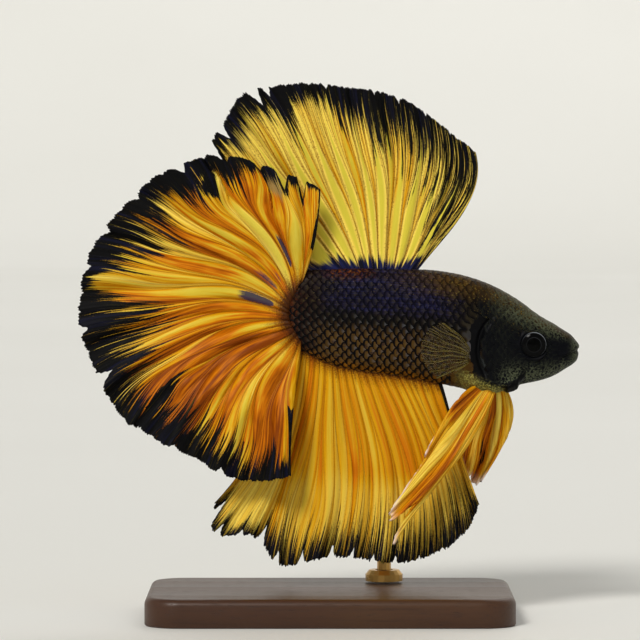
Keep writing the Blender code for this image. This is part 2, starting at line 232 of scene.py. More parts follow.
def relief(along, height, out):
    """How far the skin stands out from the plain body form, in metres.

    Each term is a rise or a fall in millimetres, times a soft mask of where it lies.
    """
    on_side = ease(np.abs(out) / 0.02)
    # The gill cover's raised plate, the slot behind its edge and the flap at its foot
    depth, angle = gill_depth(along, height)
    free = gill_share(angle) * on_side
    plate = 0.24 * ease((depth + 0.002) / 0.006) * (1 - ease((depth - 0.012) / 0.055))
    groove = -0.42 * hump(depth, -0.009, 0.008) - 0.12 * hump(depth, -0.025, 0.020)
    under = ease((angle - 222) / 25) * ease((330 - angle) / 30) * on_side
    flap = under * (0.26 * ease((depth + 0.026) / 0.005) * (1 - ease((depth + 0.006) / 0.006)))
    flap_foot = -0.30 * under * hump(depth, -0.033, 0.008)
    total = free * (plate + groove * (1 - 0.8 * under)) + flap + flap_foot
    # The fine line where the cheek ends
    cheek = np.hypot(along - 0.868, (height + 0.088) * 0.92)
    total += -0.07 * hump(cheek, 0.098, 0.005) * ease((0.86 - along) / 0.03) * on_side
    # The mouth's slit, its lips and the crease above them
    slit = height - (MOUTH_CORNER[1] + (along - MOUTH_CORNER[0]) * MOUTH_RISE)
    total += -0.34 * hump(slit, 0.0, 0.0045) * ease((along - MOUTH_CORNER[0]) / 0.015)
    lips = hump(np.abs(slit), 0.017, 0.011) * ease((along - 0.955) / 0.03)
    total += 0.08 * lips - 0.08 * hump(slit, 0.045, 0.010) * ease((along - 0.93) / 0.03) * on_side
    # The snout, the brow and the chin
    upper = ease((height - MOUTH_CORNER[1]) / 0.03)
    total += 0.30 * ease((along - 0.94) / 0.05) + 0.40 * upper * hump(along, 0.945, 0.045)
    total += 0.80 * (1 - upper) * hump(along, 0.928, 0.085)
    # The breast's swelling, and the frill of skin under the gills
    total += 1.05 * ease((-0.180 - height) / 0.03) * hump(along, 0.690, 0.060)
    frill = 0.9 * hump(along, 0.760, 0.012) + hump(along, 0.777, 0.012) + 0.7 * hump(along, 0.792, 0.007)
    total += 0.62 * ease((-0.192 - height) / 0.020) * np.minimum(frill, 1.0)
    # The nostril
    nostril = np.hypot(along - NOSTRIL[0], height - NOSTRIL[1])
    total += (-0.20 * hump(nostril, 0.0, 0.006) + 0.07 * hump(nostril, 0.012, 0.004)) * on_side
    # The eye's socket and the orbit's rim
    eye = eye_distance(along, height)
    socket = 1 - ease((eye - 0.84) / 0.14)
    total = total * (1 - socket) - 0.85 * socket * on_side
    total += (0.13 * hump(eye, 1.10, 0.09) - 0.05 * hump(eye, 1.36, 0.12)) * on_side
    return total * MM


def skin_place(along, girth, lift=0.0):
    """World place on the skin, raised by a distance, and its level between belly and back."""
    along = np.clip(along, 0.0015, 0.9985)
    turn = np.interp(np.mod(girth, 1.0), GIRTHS, TURNS)
    step = 0.003  # how far off the neighbours lie that give the skin's direction
    shares = body_shares(along, turn)
    by_along = body_shares(np.minimum(along + step, 0.9995), turn)
    by_along = by_along - body_shares(np.maximum(along - step, 0.0005), turn)
    by_turn = body_shares(along, turn + step) - body_shares(along, turn - step)
    normal = unit(np.cross(by_turn, by_along))
    raised = relief(along, shares[..., 2], shares[..., 1]) + lift - sizes().coat_depth
    return TAIL_ROOT + shares * BODY_LENGTH + normal * raised[..., None], level_at(along, shares[..., 2])


# ---------------------------------------------------------------- user settings


def srgb(red, green, blue):
    """Linear colour from the usual 0 to 255 values."""
    shares = [value / 255 for value in (red, green, blue)]
    return tuple(s / 12.92 if s <= 0.04045 else ((s + 0.055) / 1.055) ** 2.4 for s in shares)


def colour(name, description, red, green, blue):
    return bpy.props.FloatVectorProperty(
        name=name, description=description, default=srgb(red, green, blue),
        subtype="COLOR", size=3, min=0.0, max=1.0,
    )


def length(name, description, default):
    return bpy.props.FloatProperty(
        name=name, description=description, default=default, min=0.0, precision=6,
        subtype="DISTANCE", unit="LENGTH",
    )


class BettaSizes(bpy.types.PropertyGroup):
    """Sizes of the coat, the fins and the stage"""

    coat_depth: length("Coat depth", "How far the skin lies inside the solid body", 0.00014)
    scale_pitch: length("Scale pitch", "Distance between flank scales along the body", 0.00122)
    scale_lift: length("Scale lift", "How far a flank scale's free rim stands off", 0.00013)
    fin_root: length("Fin thickness at the root", "Thickness where a fin leaves the body", 0.00034)
    fin_edge: length("Fin thickness at the edge", "Thickness at a fin's free margin", 0.00013)
    ray_height: length("Ray height", "How far a fin ray stands up from its membrane", 0.00004)
    floor_reach: length("Floor reach", "Radius of the floor that the stand rests on", 4.0)
    camera_distance: length("Camera distance", "From the fish's mid plane to the camera", 0.62)
    view_width: length("View width", "Width of the view at the fish", 0.0911)
    view_rise: bpy.props.FloatProperty(
        name="View rise", description="Angle at which the camera looks down",
        default=math.radians(2.0), subtype="ANGLE", unit="ROTATION",
    )


class BettaColours(bpy.types.PropertyGroup):
    """Colours of the fish, its stand and the floor"""

    # The fins' colours from cream to rust also carry painted light and shade: folds and pleats go paler
    # facing the light and deeper orange facing away
    cream: colour("Cream", "Palest streaks of the fins", 248, 218, 92)
    pale: colour("Pale membrane", "Thin membrane between the fin rays", 210, 194, 62)
    gold: colour("Gold", "Main colour of the fins", 218, 158, 6)
    orange: colour("Orange", "Folds of the fins", 206, 114, 4)
    rust: colour("Rust", "Deepest folds and the bony rays", 128, 58, 2)
    soot: colour("Soot", "Black margin of the fins", 9, 9, 10)
    navy: colour("Navy", "Blue patches at the fins' roots and in the margin", 26, 30, 74)
    blush: colour("Blush", "Tips of the ventral fins", 244, 222, 214)
    violet: colour("Violet", "Shine of the upper flank", 15, 12, 36)
    umber: colour("Umber", "Dark middle of the flank", 14, 9, 7)
    bronze: colour("Bronze", "Scales of the lower flank and the nape", 80, 56, 20)
    maroon: colour("Maroon", "Tail stalk", 26, 10, 9)
    ink: colour("Ink", "Head and the rims of the scales", 8, 9, 13)
    ash: colour("Ash", "Grey mottle of the jaw, the lips and the breast", 106, 112, 86)
    silver: colour("Silver", "Ring of the eye", 170, 176, 184)
    walnut: colour("Walnut", "Base of the stand", 74, 44, 26)
    brass: colour("Brass", "Rod and collar of the stand", 190, 150, 84)
    floor: colour("Floor", "Floor and surroundings", 226, 226, 222)


def sizes():
    return bpy.context.scene.betta_sizes


def tones():
    return bpy.context.scene.betta_colours


# ---------------------------------------------------------------- materials


class Value:
    """A number or vector in a material, which Python expressions can work on."""

    def __init__(self, paint, socket):
        self.paint = paint
        self.socket = socket

    def __add__(self, other):
        return self.paint.maths("ADD", self, other)

    __radd__ = __add__

    def __sub__(self, other):
        return self.paint.maths("SUBTRACT", self, other)

    def __rsub__(self, other):
        return self.paint.maths("SUBTRACT", other, self)

    def __mul__(self, other):
        return self.paint.maths("MULTIPLY", self, other)

    __rmul__ = __mul__

    def clamped(self):
        return self.paint.node("ShaderNodeClamp", {}, {0: self})

    def larger(self, other):
        return self.paint.maths("MAXIMUM", self, other)


class Paint:
    """One material with a Principled shader, and the nodes that feed it."""

    def __init__(self, name, **constants):
        self.material = bpy.data.materials.new(name)
        self.material.use_nodes = True
        self.tree = self.material.node_tree
        self.shader = self.tree.nodes["Principled BSDF"]
        self.colour = None
        for socket, value in constants.items():
            self.shader.inputs[socket.replace("_", " ")].default_value = value

    def node(self, kind, settings, sockets, output=0):
        """Any node: its type, its settings, then its sockets' values or links."""
        node = self.tree.nodes.new(kind)
        for key, value in settings.items():
            if key == "stops":
                self.set_stops(node.color_ramp, value)
            else:
                setattr(node, key, value)
        for key, value in sockets.items():
            self.feed(node.inputs[key], value)
        return Value(self, node.outputs[output])

    def set_stops(self, ramp, stops):
        while len(ramp.elements) < len(stops):
            ramp.elements.new(0.5)
        for element, (place, tone) in zip(ramp.elements, stops):
            element.position = place
            element.color = (*tone, 1.0)

    def feed(self, socket, value):
        if isinstance(value, Value):
            self.tree.links.new(value.socket, socket)
        elif socket.type == "RGBA":
            socket.default_value = (*value, 1.0)
        else:
            socket.default_value = value

    def maths(self, operation, *values):
        return self.node("ShaderNodeMath", {"operation": operation}, dict(enumerate(values)))

    def blend(self, low, high, share):
        """Colour from low to high as share goes from 0 to 1."""
        return self.node("ShaderNodeMix", {"data_type": "RGBA"}, {0: share, 6: low, 7: high}, 2)

    def coat(self, tone, share):
        """Lays a tone over the colour so far, as thickly as share says."""
        self.colour = self.blend(self.colour, tone, share)

    def step(self, value, low, high):
        """Smooth step from 0 to 1 as value goes from low to high, or the other way round."""
        return self.node(
            "ShaderNodeMapRange", {"interpolation_type": "SMOOTHSTEP"}, {0: value, 1: low, 2: high}
        )

    def between(self, value, low, rise, fall, high):
        """1 from rise to fall, and 0 below low and above high."""
        return self.step(value, low, rise) * self.step(value, high, fall)

    def ramp(self, value, *stops):
        return self.node("ShaderNodeValToRGB", {"stops": stops}, {0: value})

    def given(self, name):
        """A value that the mesh carries at each of its points."""
        return self.node("ShaderNodeAttribute", {"attribute_name": name}, {}, 2)

    def chart(self, name):
        """A UV map's coordinates."""
        return self.node("ShaderNodeUVMap", {"uv_map": name}, {})

    def space(self):
        """The object's own coordinates."""
        return self.node("ShaderNodeTexCoord", {}, {}, 3)

    def stretched(self, vector, *factors):
        return self.node("ShaderNodeVectorMath", {"operation": "MULTIPLY"}, {0: vector, 1: factors})

    def part(self, vector, index):
        return self.node("ShaderNodeSeparateXYZ", {}, {0: vector}, index)

    def noise(self, vector, scale, detail, roughness):
        """Noise from 0 to 1, at one scale or at a scale for each direction."""
        if isinstance(scale, tuple):
            vector, scale = self.stretched(vector, *scale), 1.0
        return self.node(
            "ShaderNodeTexNoise", {},
            {"Vector": vector, "Scale": scale, "Detail": detail, "Roughness": roughness},
        )

    def grain(self, scale, detail, roughness):
        """Noise in the object's own coordinates, in cycles per metre."""
        return self.noise(self.space(), scale, detail, roughness)

    def seams(self, scale):
        """Distance from the seams between small cells."""
        settings = {"feature": "DISTANCE_TO_EDGE"}
        return self.node("ShaderNodeTexVoronoi", settings, {"Vector": self.space(), "Scale": scale})

    def finish(self, height, depth, **fed):
        """Feeds the colour, the other sockets, and height as a bump that is depth metres deep."""
        for socket, value in fed.items():
            self.feed(self.shader.inputs[socket], value)
        self.feed(self.shader.inputs["Base Color"], self.colour)
        bump = self.node("ShaderNodeBump", {}, {"Strength": 1.0, "Distance": depth, "Height": height})
        self.feed(self.shader.inputs["Normal"], bump)
        return self.material


# ---------------------------------------------------------------- making meshes


def make_piece(name, points, faces, charts, values, material, closed=True):
    """A smooth mesh object, which faces outwards if it is closed.

    Faces are a list of arrays of point numbers. A chart holds places on a UV map, either
    for every point or, in a list like the faces, for their corners. Values are for points.
    """
    charts = {
        key: given if isinstance(given, list) else [given[part] for part in faces]
        for key, given in charts.items()
    }
    if closed and not facing_out(points, faces):
        faces = [part[:, ::-1] for part in faces]
        charts = {key: [part[:, ::-1] for part in parts] for key, parts in charts.items()}
    mesh = bpy.data.meshes.new(name)
    corners = np.concatenate([part.ravel() for part in faces])
    counts = np.concatenate([np.full(len(part), part.shape[1]) for part in faces])
    mesh.vertices.add(len(points))
    mesh.vertices.foreach_set("co", np.ascontiguousarray(points, np.float32).ravel())
    mesh.loops.add(len(corners))
    mesh.loops.foreach_set("vertex_index", corners.astype(np.int32))
    mesh.polygons.add(len(counts))
    mesh.polygons.foreach_set("loop_start", (np.cumsum(counts) - counts).astype(np.int32))
    mesh.polygons.foreach_set("loop_total", counts.astype(np.int32))
    for chart, parts in charts.items():
        layer = mesh.uv_layers.new(name=chart)
        flat = np.concatenate([part.reshape(-1, 2) for part in parts])
        layer.uv.foreach_set("vector", flat.astype(np.float32).ravel())
    for key, given in values.items():
        layer = mesh.attributes.new(key, "FLOAT", "POINT")
        layer.data.foreach_set("value", given.astype(np.float32).ravel())
    mesh.update(calc_edges=True)
    mesh.shade_smooth()
    mesh.materials.append(material)
    piece = bpy.data.objects.new(name, mesh)
    bpy.context.scene.collection.objects.link(piece)
    return piece


def facing_out(points, faces):
    """Whether closed faces enclose a positive volume."""
    volume = 0.0
    for part in faces:
        first = points[part[:, 0]]
        for k in range(1, part.shape[1] - 1):
            volume += np.einsum("ij,ij->", first, np.cross(points[part[:, k]], points[part[:, k + 1]]))
    return volume >= 0


def grid_quads(grid):
    """The corners of every cell of a grid of point numbers, or of places on a chart."""
    cells = np.stack((grid[:-1, :-1], grid[1:, :-1], grid[1:, 1:], grid[:-1, 1:]), axis=2)
    return cells.reshape(-1, 4, *grid.shape[2:])


def strip_quads(first, second):
    """The corners of the cells between two lines of point numbers, or of places on a chart."""
    return np.stack((first[:-1], first[1:], second[1:], second[:-1]), axis=1)


def ring_grid(rings, turns):
    """Point numbers of closed rings of points, with the first point of each again at its end."""
    index = np.arange(rings * turns).reshape(rings, turns)
    return np.concatenate((index, index[:, :1]), axis=1)


def fan(line, hub):
    """Triangles from a line of point numbers to one point."""
    return np.stack((line[:-1], line[1:], np.full(len(line) - 1, hub)), axis=-1)


def place_piece(piece, slot, *nodes):
    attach(piece, "root")
    if nodes:
        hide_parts(*nodes)


# ---------------------------------------------------------------- fins


@dataclass
class Fin:
    """A fin as a fan of branching rays, with its folds, its margin and its colours.

    Guides hold a ray's tip direction and distance from the centre, then its own direction
    at the root and at the tip, in degrees and shares, as in the solids. Places across the
    fan run from 0 to 1, and so do places along a ray.
    """

    name: str
    centre: tuple
    guides: tuple
    root: Callable
    side: Callable
    rise: Callable  # world place -> distance outside the body's outline
    bundles: int
    splits: tuple  # where along the ray each branching starts
    rows: int
    folds: tuple  # (folds across the fan, depth, power along the ray, phase, swing)
    reach: tuple = ((0, -1.0), (1, -1.0))  # (place across, depth of the black margin in mm)
    bands: tuple = ()  # (place across, half width, tint, from along, to along)
    notches: tuple = ()  # (place across, half width, depth as a share of the ray)
    laps: tuple = ()  # (place across, jump sideways, overlap across, fade, from along)
    lines: tuple = ()  # (place across, half width, from along): dark streaks
    patches: tuple = ()  # (place across, half width, from mm, to mm): blue on the membrane
    blots: tuple = ()  # (place across, half width, along, half length): black marks
    sheens: tuple = ()  # (place across, half width, along, half length): blue-grey marks
    mists: tuple = ()  # (place across, half width, along, half length): grey-green marks
    solid: tuple = ((0, 1.0), (1, 1.0))  # (place across, how solid the black margin is)
    veins: tuple = (0, 0.0)  # count and strength of pale rays
    tone: float = 0.0  # tint all over
    ribs: float = 0.5  # how much deeper the bundles are than what lies between them
    pleat_shade: float = 0.0  # how strongly the painted shadow and highlight at the pleats' edges are drawn
    calm: float = 1.0  # how much the bundles and the painted light and shade of the folds change the tint
    sway: float = 0.3  # how far the bundles wander sideways, in shares of their own width
    spread: float = 0.16  # how far apart the rays of a bundle are at the root
    stiffness: float = 0.36  # how far a ray keeps its root's and its tip's direction
    ragged: float = 0.022  # how uneven the margin is, as a share of the ray
    streaky: float = 0.55  # how uneven the depth of the black margin is
    thickness: float = 1.0
    flare: float = 0.0  # extra thickness where the fin leaves the body, in metres
    seed: int = 1


def fin_flat(fin, across, along):
    """Along and height shares of the fin without its folds."""
    table = np.array(fin.guides, float)
    places = np.linspace(0, 1, len(table))
    angle, distance, root_turn, tip_turn = (curve_through(places, column, across) for column in table.T)
    root = np.stack(np.broadcast_arrays(*fin.root(across)), axis=-1)
    tip = np.array(fin.centre) + np.stack(towards(angle, distance), axis=-1)
    reach = fin.stiffness * np.linalg.norm(tip - root, axis=-1)
    near = root + np.stack(towards(root_turn, reach), axis=-1)
    far = tip - np.stack(towards(tip_turn, reach), axis=-1)
    t = along[..., None]
    s = 1 - t
    return s**3 * root + 3 * s * s * t * near + 3 * s * t * t * far + t**3 * tip


def ray_columns(fin, along, chance):
    """Across places of every column of the mesh at each row, and which columns are rays."""
    opening, uneven = 0.60, 0.07  # how long a branching takes to open, and how its start varies
    columns, rays = [np.zeros(len(along))], [True]
    for bundle in range(fin.bundles):
        offsets = np.zeros((1, len(along)))
        for level, start in enumerate(fin.splits):
            start = start + chance.uniform(-uneven, uneven)
            half = mix(fin.spread, 1.0, ease((along - start) / opening)) / 2 ** (level + 2)
            offsets = np.stack((offsets - half, offsets + half), axis=1).reshape(-1, len(along))
        centres = (bundle + 0.5 + offsets) / fin.bundles
        for index, centre in enumerate(centres):
            if index:
                columns.append((centres[index - 1] + centre) / 2)
                rays.append(False)
            columns.append(centre)
            rays.append(True)
        last = bundle == fin.bundles - 1  # the fin ends in a ray, and membrane parts two bundles
        columns.append(np.full(len(along), (bundle + 1) / fin.bundles))
        rays.append(last)
    across = np.array(columns)
    shift = 0.22 / fin.bundles * wander(chance, across, fin.bundles)
    lean = 0.8 * along + 0.6 * wander(chance, across, fin.bundles / 3)
    shift = shift + fin.sway / fin.bundles * np.sin(math.pi * 2 * lean) * np.sin(math.pi * along)
    across = across + shift * ease(across / 0.06) * ease((1 - across) / 0.06)
    return np.sort(across, axis=0), np.array(rays)


def margin_cut(fin, edge, rays, chance):
    """How much shorter each ray is than the fan's outline, as a share of its length."""
    lobes_each = 3.6  # scallops of the margin in one bundle
    lobes = edge * fin.bundles * lobes_each + 0.5 * wander(chance, edge, fin.bundles * 2)
    cut = fin.ragged * (0.5 + 0.5 * wander(chance, edge, fin.bundles * 2))
    cut += fin.ragged * 0.75 * (1 - np.abs(np.sin(math.pi * lobes)) ** 0.6)
    for place, width, depth in fin.notches:
        cut += depth * np.maximum(0, 1 - np.abs(edge - place) / width) ** 1.2
    tips = chance.uniform(0, 0.005, len(edge))
    return cut + np.where(rays, tips, 0.006 + tips)  # the membrane ends a little short of the rays


def lap_share(across, along, place, fade, start):
    """1 just past a lap's edge, fading out further across, and 0 before the edge."""
    edge, opening = 0.004, 0.25
    past = ease((across - place) / edge) * np.exp(-np.maximum(across - place, 0) / fade)
    return past * ease((along - start) / opening)


def fin_surface(fin, across, along):
    """World places of the fin's middle surface, with its folds and laps."""
    pulled, sideways = across, fin.side(across, along)
    for count, depth, power, phase, swing in fin.folds:
        wave = np.sin(2 * math.pi * (count * across + phase + swing * along))
        sideways = sideways + depth * np.clip(along, 0, 1) ** power * wave
    for place, jump, overlap, fade, start in fin.laps:
        share = lap_share(across, along, place, fade, start)
        sideways = sideways + jump * share
        pulled = pulled - overlap * share
    flat = fin_flat(fin, np.clip(pulled, 0, 1), along)
    return to_world(flat[..., 0], sideways, flat[..., 1])


def fin_tint(fin, across, along, normal, chance):
    """From -1, the palest membrane, to 1, the deepest orange, with the painted light and shade of the folds
    and pleats in it.
    """
    # Chance differences between bundles, and between rays beyond the root
    total = fin.tone + 0.26 * fin.calm * wander(chance, across, fin.bundles)
    total += 0.22 * fin.calm * wander(chance, across, fin.bundles * 4) * ease((along - 0.1) / 0.4)
    # Bundles against what lies between them, pale rays, and the pleats' crisp edges, drawn as painted shadow
    # on one side and painted highlight on the other
    between = np.abs((across * fin.bundles) % 1 - 0.5) * 2
    total += fin.ribs * (0.5 - ease((between - 0.10) / 0.5)) * ease((0.95 - along) / 0.5)
    count, strength = fin.veins
    if count:
        vein = np.abs((across * count) % 1 - 0.5) * 2
        total += strength * (0.35 - hump(vein, 0.0, 0.42)) * ease((along - 0.02) / 0.2)
    pleat_shade = (across * fin.bundles * 0.8 + 1.2 * wander(chance, across, fin.bundles)) % 1
    total += fin.pleat_shade * (1.5 * pleat_shade**5 - 0.6 * hump(pleat_shade, 0.16, 0.12) - 0.15) * ease(along / 0.3)
    fade = 0.15
    for place, width, tint, start, end in fin.bands:
        window = ease((along - start) / fade + 0.5) * ease((end - along) / fade + 0.5)
        total += tint * hump(across, place, width) * window
    # Painted light and shade: folds are paler where they face up and to the near side, towards the light, and
    # deeper orange where they face away
    fold_light = normal[..., 2] * 0.75 - normal[..., 1] * 0.25 + normal[..., 0] * 0.15
    fold_light = np.where(normal[..., 1] < 0, fold_light, -fold_light)
    return total - 0.55 * fin.calm * (fold_light - np.median(fold_light))


def fin_marks(marks, across, along):
    """The strongest of some soft oval marks at each place, from 0 to 1."""
    total = np.zeros(along.shape)
    for place, width, centre, reach in marks:
        total = np.maximum(total, hump(across, place, width) * hump(along, centre, reach))
    return total


def fin_dark(fin, across, along, inward, chance):
    """Black of the margin: 1 at the rim, 0 where half the streaks have ended, then below 0."""
    edge = across[:, 0]
    flame = 0.50 * wander(chance, edge, fin.bundles) + 0.40 * wander(chance, edge, fin.bundles * 3)
    flame += 0.25 * chance.uniform(-1, 1, len(edge))
    depth = (through(fin.reach, edge) * np.maximum(1 + fin.streaky * flame, 0.15))[:, None]
    dark = through(fin.solid, edge)[:, None] * (1 - inward / np.maximum(depth, 0.05))
    dark = np.where(depth <= 0, NO_BLACK, np.maximum(dark, NO_BLACK))
    for place, width, start in fin.lines:
        streak = 3.0 * hump(across, place, width) * ease((along - start) / 0.12) - 1.5
        dark = np.maximum(dark, streak)
    if fin.blots:
        dark = np.maximum(dark, 2.0 * fin_marks(fin.blots, across, along) - 0.95)
    return dark


def fin_blue(fin, across, along, root):
    """Blue patches at a distance from the body, and blue-grey sheens, from 0 to 1."""
    rise, fall = 1.6, 5.4  # how many millimetres a patch takes to appear and to fade
    blue = fin_marks(fin.sheens, across, along)
    for place, width, start, end in fin.patches:
        window = ease((root - start) / rise + 0.5) * ease((end - root) / fall + 0.5)
        blue = np.maximum(blue, hump(across, place, width) * window)
    return blue


def ray_distance(middle, rays):
    """Distance of each point from the nearest ray, in millimetres."""
    gaps = np.linalg.norm(np.diff(middle, axis=0), axis=2) / MM
    off = np.zeros(middle.shape[:2])
    for index in np.flatnonzero(~rays):
        off[index] = np.minimum(gaps[index - 1], gaps[index])
    return off


def rim_distance(middle):
    """Distance of each point from the fin's margin along its ray, in millimetres."""
    steps = np.linalg.norm(np.diff(middle, axis=1), axis=2)
    from_rim = np.cumsum(steps[:, ::-1], axis=1)[:, ::-1]
    return np.concatenate((from_rim, np.zeros((len(middle), 1))), axis=1) / MM


def build_fin(fin, material):
    """One closed sheet: a near side and a far side joined round the rim."""
    chance = np.random.default_rng(fin.seed)
    along = np.linspace(0, 1, fin.rows) ** 0.92  # the rows lie a little closer towards the margin
    across, rays = ray_columns(fin, along, chance)
    cut = margin_cut(fin, across[:, -1], rays, chance)
    run = along[None, :] * (1 - cut[:, None] * along[None, :] ** 3)
    middle = fin_surface(fin, across, run)
    normal = unit(np.cross(np.gradient(middle, axis=0), np.gradient(middle, axis=1)))
    lane = np.broadcast_to(across[:, -1:], across.shape)  # markings keep to their own ray
    root = fin.rise(middle) / MM
    values = {
        # The tint carries painted light and shade of the folds as well as the fin's own colour
        "tint": fin_tint(fin, lane, run, normal, chance),
        "dark": fin_dark(fin, lane, run, rim_distance(middle), chance),
        "off": ray_distance(middle, rays),
        "root": root,
        "blue": fin_blue(fin, lane, run, root),
        "mist": fin_marks(fin.mists, lane, run),
    }
    values = {key: np.concatenate((given, given)) for key, given in values.items()}
    half = mix(sizes().fin_root, sizes().fin_edge, run) / 2 * fin.thickness
    half = half + np.where(rays, sizes().ray_height, 0.0)[:, None]
    half = half + fin.flare * (1 - ease((root + 1.2) / 3.4))
    raised = normal * half[..., None]
    points = np.concatenate((middle + raised, middle - raised)).reshape(-1, 3)
    near = np.arange(run.size).reshape(run.shape)
    far = near + run.size
    faces = [
        grid_quads(near), grid_quads(far)[:, ::-1],
        strip_quads(near[:, -1], far[:, -1]), strip_quads(far[:, 0], near[:, 0]),
        strip_quads(near[0], far[0]), strip_quads(far[-1], near[-1]),
    ]
    lie = np.stack((lane * fin.bundles, run), axis=-1).reshape(-1, 2)
    charts = {"OFBake": fin_bake_map(run.shape, faces), "Lie": np.concatenate((lie, lie))}
    return make_piece(fin.name, points, faces, charts, values, material)


def fin_bake_map(shape, faces):
    """The near side fills the lower half of the map, the far side the upper half."""
    columns, rows = (np.linspace(0.01, high, count) for high, count in zip((0.99, 0.475), shape))
    near = np.stack(np.meshgrid(columns, rows, indexing="ij"), axis=-1).reshape(-1, 2)
    sheet = np.concatenate((near, near + (0, 0.5)))
    charts = [sheet[faces[0]], sheet[faces[1]]]
    for number, rim in enumerate(faces[2:]):  # the four rims lie as thin strips between them
        share = np.linspace(0.01, 0.99, len(rim) + 1)
        low = np.stack((share, np.full(len(share), 0.478 + 0.004 * number)), axis=-1)
        charts.append(strip_quads(low, low + (0, 0.0025)))
    return charts


def body_gap(world, sign):
    """Distance of world places above the back, with sign 1, or below the belly, with sign -1."""
    shares = (world - TAIL_ROOT) / BODY_LENGTH
    back, belly, _ = body_section(np.clip(shares[..., 0], 0, 1))
    return (shares[..., 2] - (back if sign > 0 else belly)) * sign * BODY_LENGTH


def above_back(world):
    return body_gap(world, 1)


def below_belly(world):
    return body_gap(world, -1)


def beyond_tail(world):
    """Distance of world places behind the tail stalk's rounded end."""
    shares = (world - TAIL_ROOT) / BODY_LENGTH
    middle, radius, tall = (0.095, 0.018), 0.100, 0.92
    reach = np.hypot(shares[..., 0] - middle[0], (shares[..., 2] - middle[1]) * tall)
    return (reach - radius) * BODY_LENGTH


def caudal_root(across):
    return 0.064 - 0.044 * np.sin(math.pi * across), mix(0.114, -0.082, across)


def caudal_side(across, along):
    outer = np.abs(2 * across - 1) ** 1.5
    return -0.012 * outer - (0.018 + 0.062 * outer) * ease(along / 0.6)


def dorsal_root(across):
    return mix(0.200, 0.436, across), np.full(across.shape, 0.135)


def dorsal_side(across, along):
    return mix(0.030, -0.010, across) * ease(along / 0.5)


def anal_root(across):
    along = mix(0.040, 0.532, across**1.5)
    return along, body_section(along)[1] + 0.030


def anal_side(across, along):
    return 0.012 * (1 - across) + mix(0.034, 0.006, across) * ease(along / 0.5)


def caudal_fin():
    return Fin(
        name="caudal_fin_sheet", centre=(0, 0), root=caudal_root, side=caudal_side, rise=beyond_tail,
        guides=(
            (74, 0.46, 69, 89), (93, 0.51, 89, 100), (112, 0.6, 104, 124), (131, 0.65, 118, 144),
            (147, 0.67, 131, 162), (163, 0.7, 146, 174), (179, 0.7, 160, 192), (195, 0.675, 170, 215),
            (209, 0.655, 180, 232), (222, 0.61, 193, 242), (238, 0.565, 211, 254), (255, 0.575, 232, 264),
            (273, 0.54, 262, 272),
        ),
        bundles=15, splits=(0.1, 0.26, 0.42, 0.58), rows=100,
        folds=(
            (11, 0.019, 1.3, 0, 0), (5, 0.012, 1.6, 0.3, 0.3), (23, 0.0065, 1.2, 0.1, 0.4),
            (47, 0.003, 2.5, 0.6, 0.9),
        ),
        reach=(
            (0, 1), (0.05, 1.6), (0.09, 2.2), (0.12, 1.6), (0.145, 2.8), (0.17, 5.4), (0.195, 4.4),
            (0.225, 8.2), (0.26, 6.4), (0.285, 4.6), (0.33, 7), (0.39, 7.2), (0.425, 6), (0.455, 2.2),
            (0.49, 9), (0.54, 9.5), (0.58, 6.5), (0.62, 7.8), (0.66, 7), (0.7, 6.2), (0.78, 5.4),
            (0.86, 5.2), (0.93, 5.4), (1, 4.4),
        ),
        bands=(
            (0.085, 0.02, -0.75, 0, 1), (0.148, 0.026, 1, 0, 1), (0.2, 0.012, -1.4, 0.78, 1),
            (0.195, 0.014, -1.3, 0, 0.62), (0.245, 0.02, 0.7, 0, 1), (0.285, 0.016, -0.95, 0.2, 1),
            (0.33, 0.018, 1, 0.1, 1), (0.362, 0.014, -1.3, 0, 0.95), (0.388, 0.006, 1, 0.3, 0.9),
            (0.445, 0.018, -1.35, 0, 1), (0.485, 0.008, 0.7, 0.1, 0.8), (0.535, 0.016, 0.65, 0.3, 1),
            (0.575, 0.012, -0.6, 0.2, 1), (0.625, 0.018, 0.7, 0.3, 0.9), (0.66, 0.01, -0.65, 0.2, 1),
            (0.705, 0.024, 1.05, 0.2, 1), (0.745, 0.01, -0.6, 0.3, 1), (0.785, 0.022, 1, 0, 1),
            (0.825, 0.01, -0.45, 0.2, 0.9), (0.895, 0.012, -0.6, 0.2, 0.9), (0.95, 0.034, 1.15, 0.2, 1),
            (0.85, 0.19, 0.75, 0, 1), (0.56, 0.1, 0.25, 0, 0.6),
        ),
        notches=(
            (0.037, 0.01, 0.2), (0.073, 0.012, 0.16), (0.118, 0.016, 0.13), (0.165, 0.01, 0.05),
            (0.235, 0.008, 0.05), (0.305, 0.008, 0.035), (0.372, 0.01, 0.04), (0.43, 0.008, 0.035),
            (0.525, 0.008, 0.035), (0.607, 0.014, 0.075), (0.728, 0.009, 0.09), (0.8, 0.01, 0.03),
            (0.885, 0.008, 0.04),
        ),
        laps=(
            (0.728, -0.034, 0.024, 0.06, 0.45), (0.118, -0.028, 0.018, 0.04, 0.55),
            (0.205, -0.026, 0.022, 0.05, 0.6),
        ),
        lines=(
            (0, 0.003, 0.3), (0.735, 0.005, 0.5), (0.124, 0.004, 0.7), (0.999, 0.002, 0.4),
            (0.212, 0.006, 0.66),
        ),
        patches=(
            (0.467, 0.013, 1.2, 6.4), (0.333, 0.012, 1.2, 6.2), (0.2, 0.011, 1.6, 7), (0.133, 0.01, 2.4, 7),
            (0.533, 0.013, 1, 5.8), (0.4, 0.01, 1, 5), (0.267, 0.008, 1.4, 4.4), (0.6, 0.011, 0.8, 4.8),
        ),
        blots=((0.738, 0.014, 0.76, 0.1), (0.22, 0.014, 0.8, 0.09)), sheens=((0.088, 0.006, 0.82, 0.06),),
        mists=((0.098, 0.026, 0.9, 0.13),), solid=((0, 0.9), (1, 0.9)), pleat_shade=0.55, sway=0.24,
        flare=0.00095, tone=0.16, ribs=0.35, ragged=0.014, seed=11,
    )


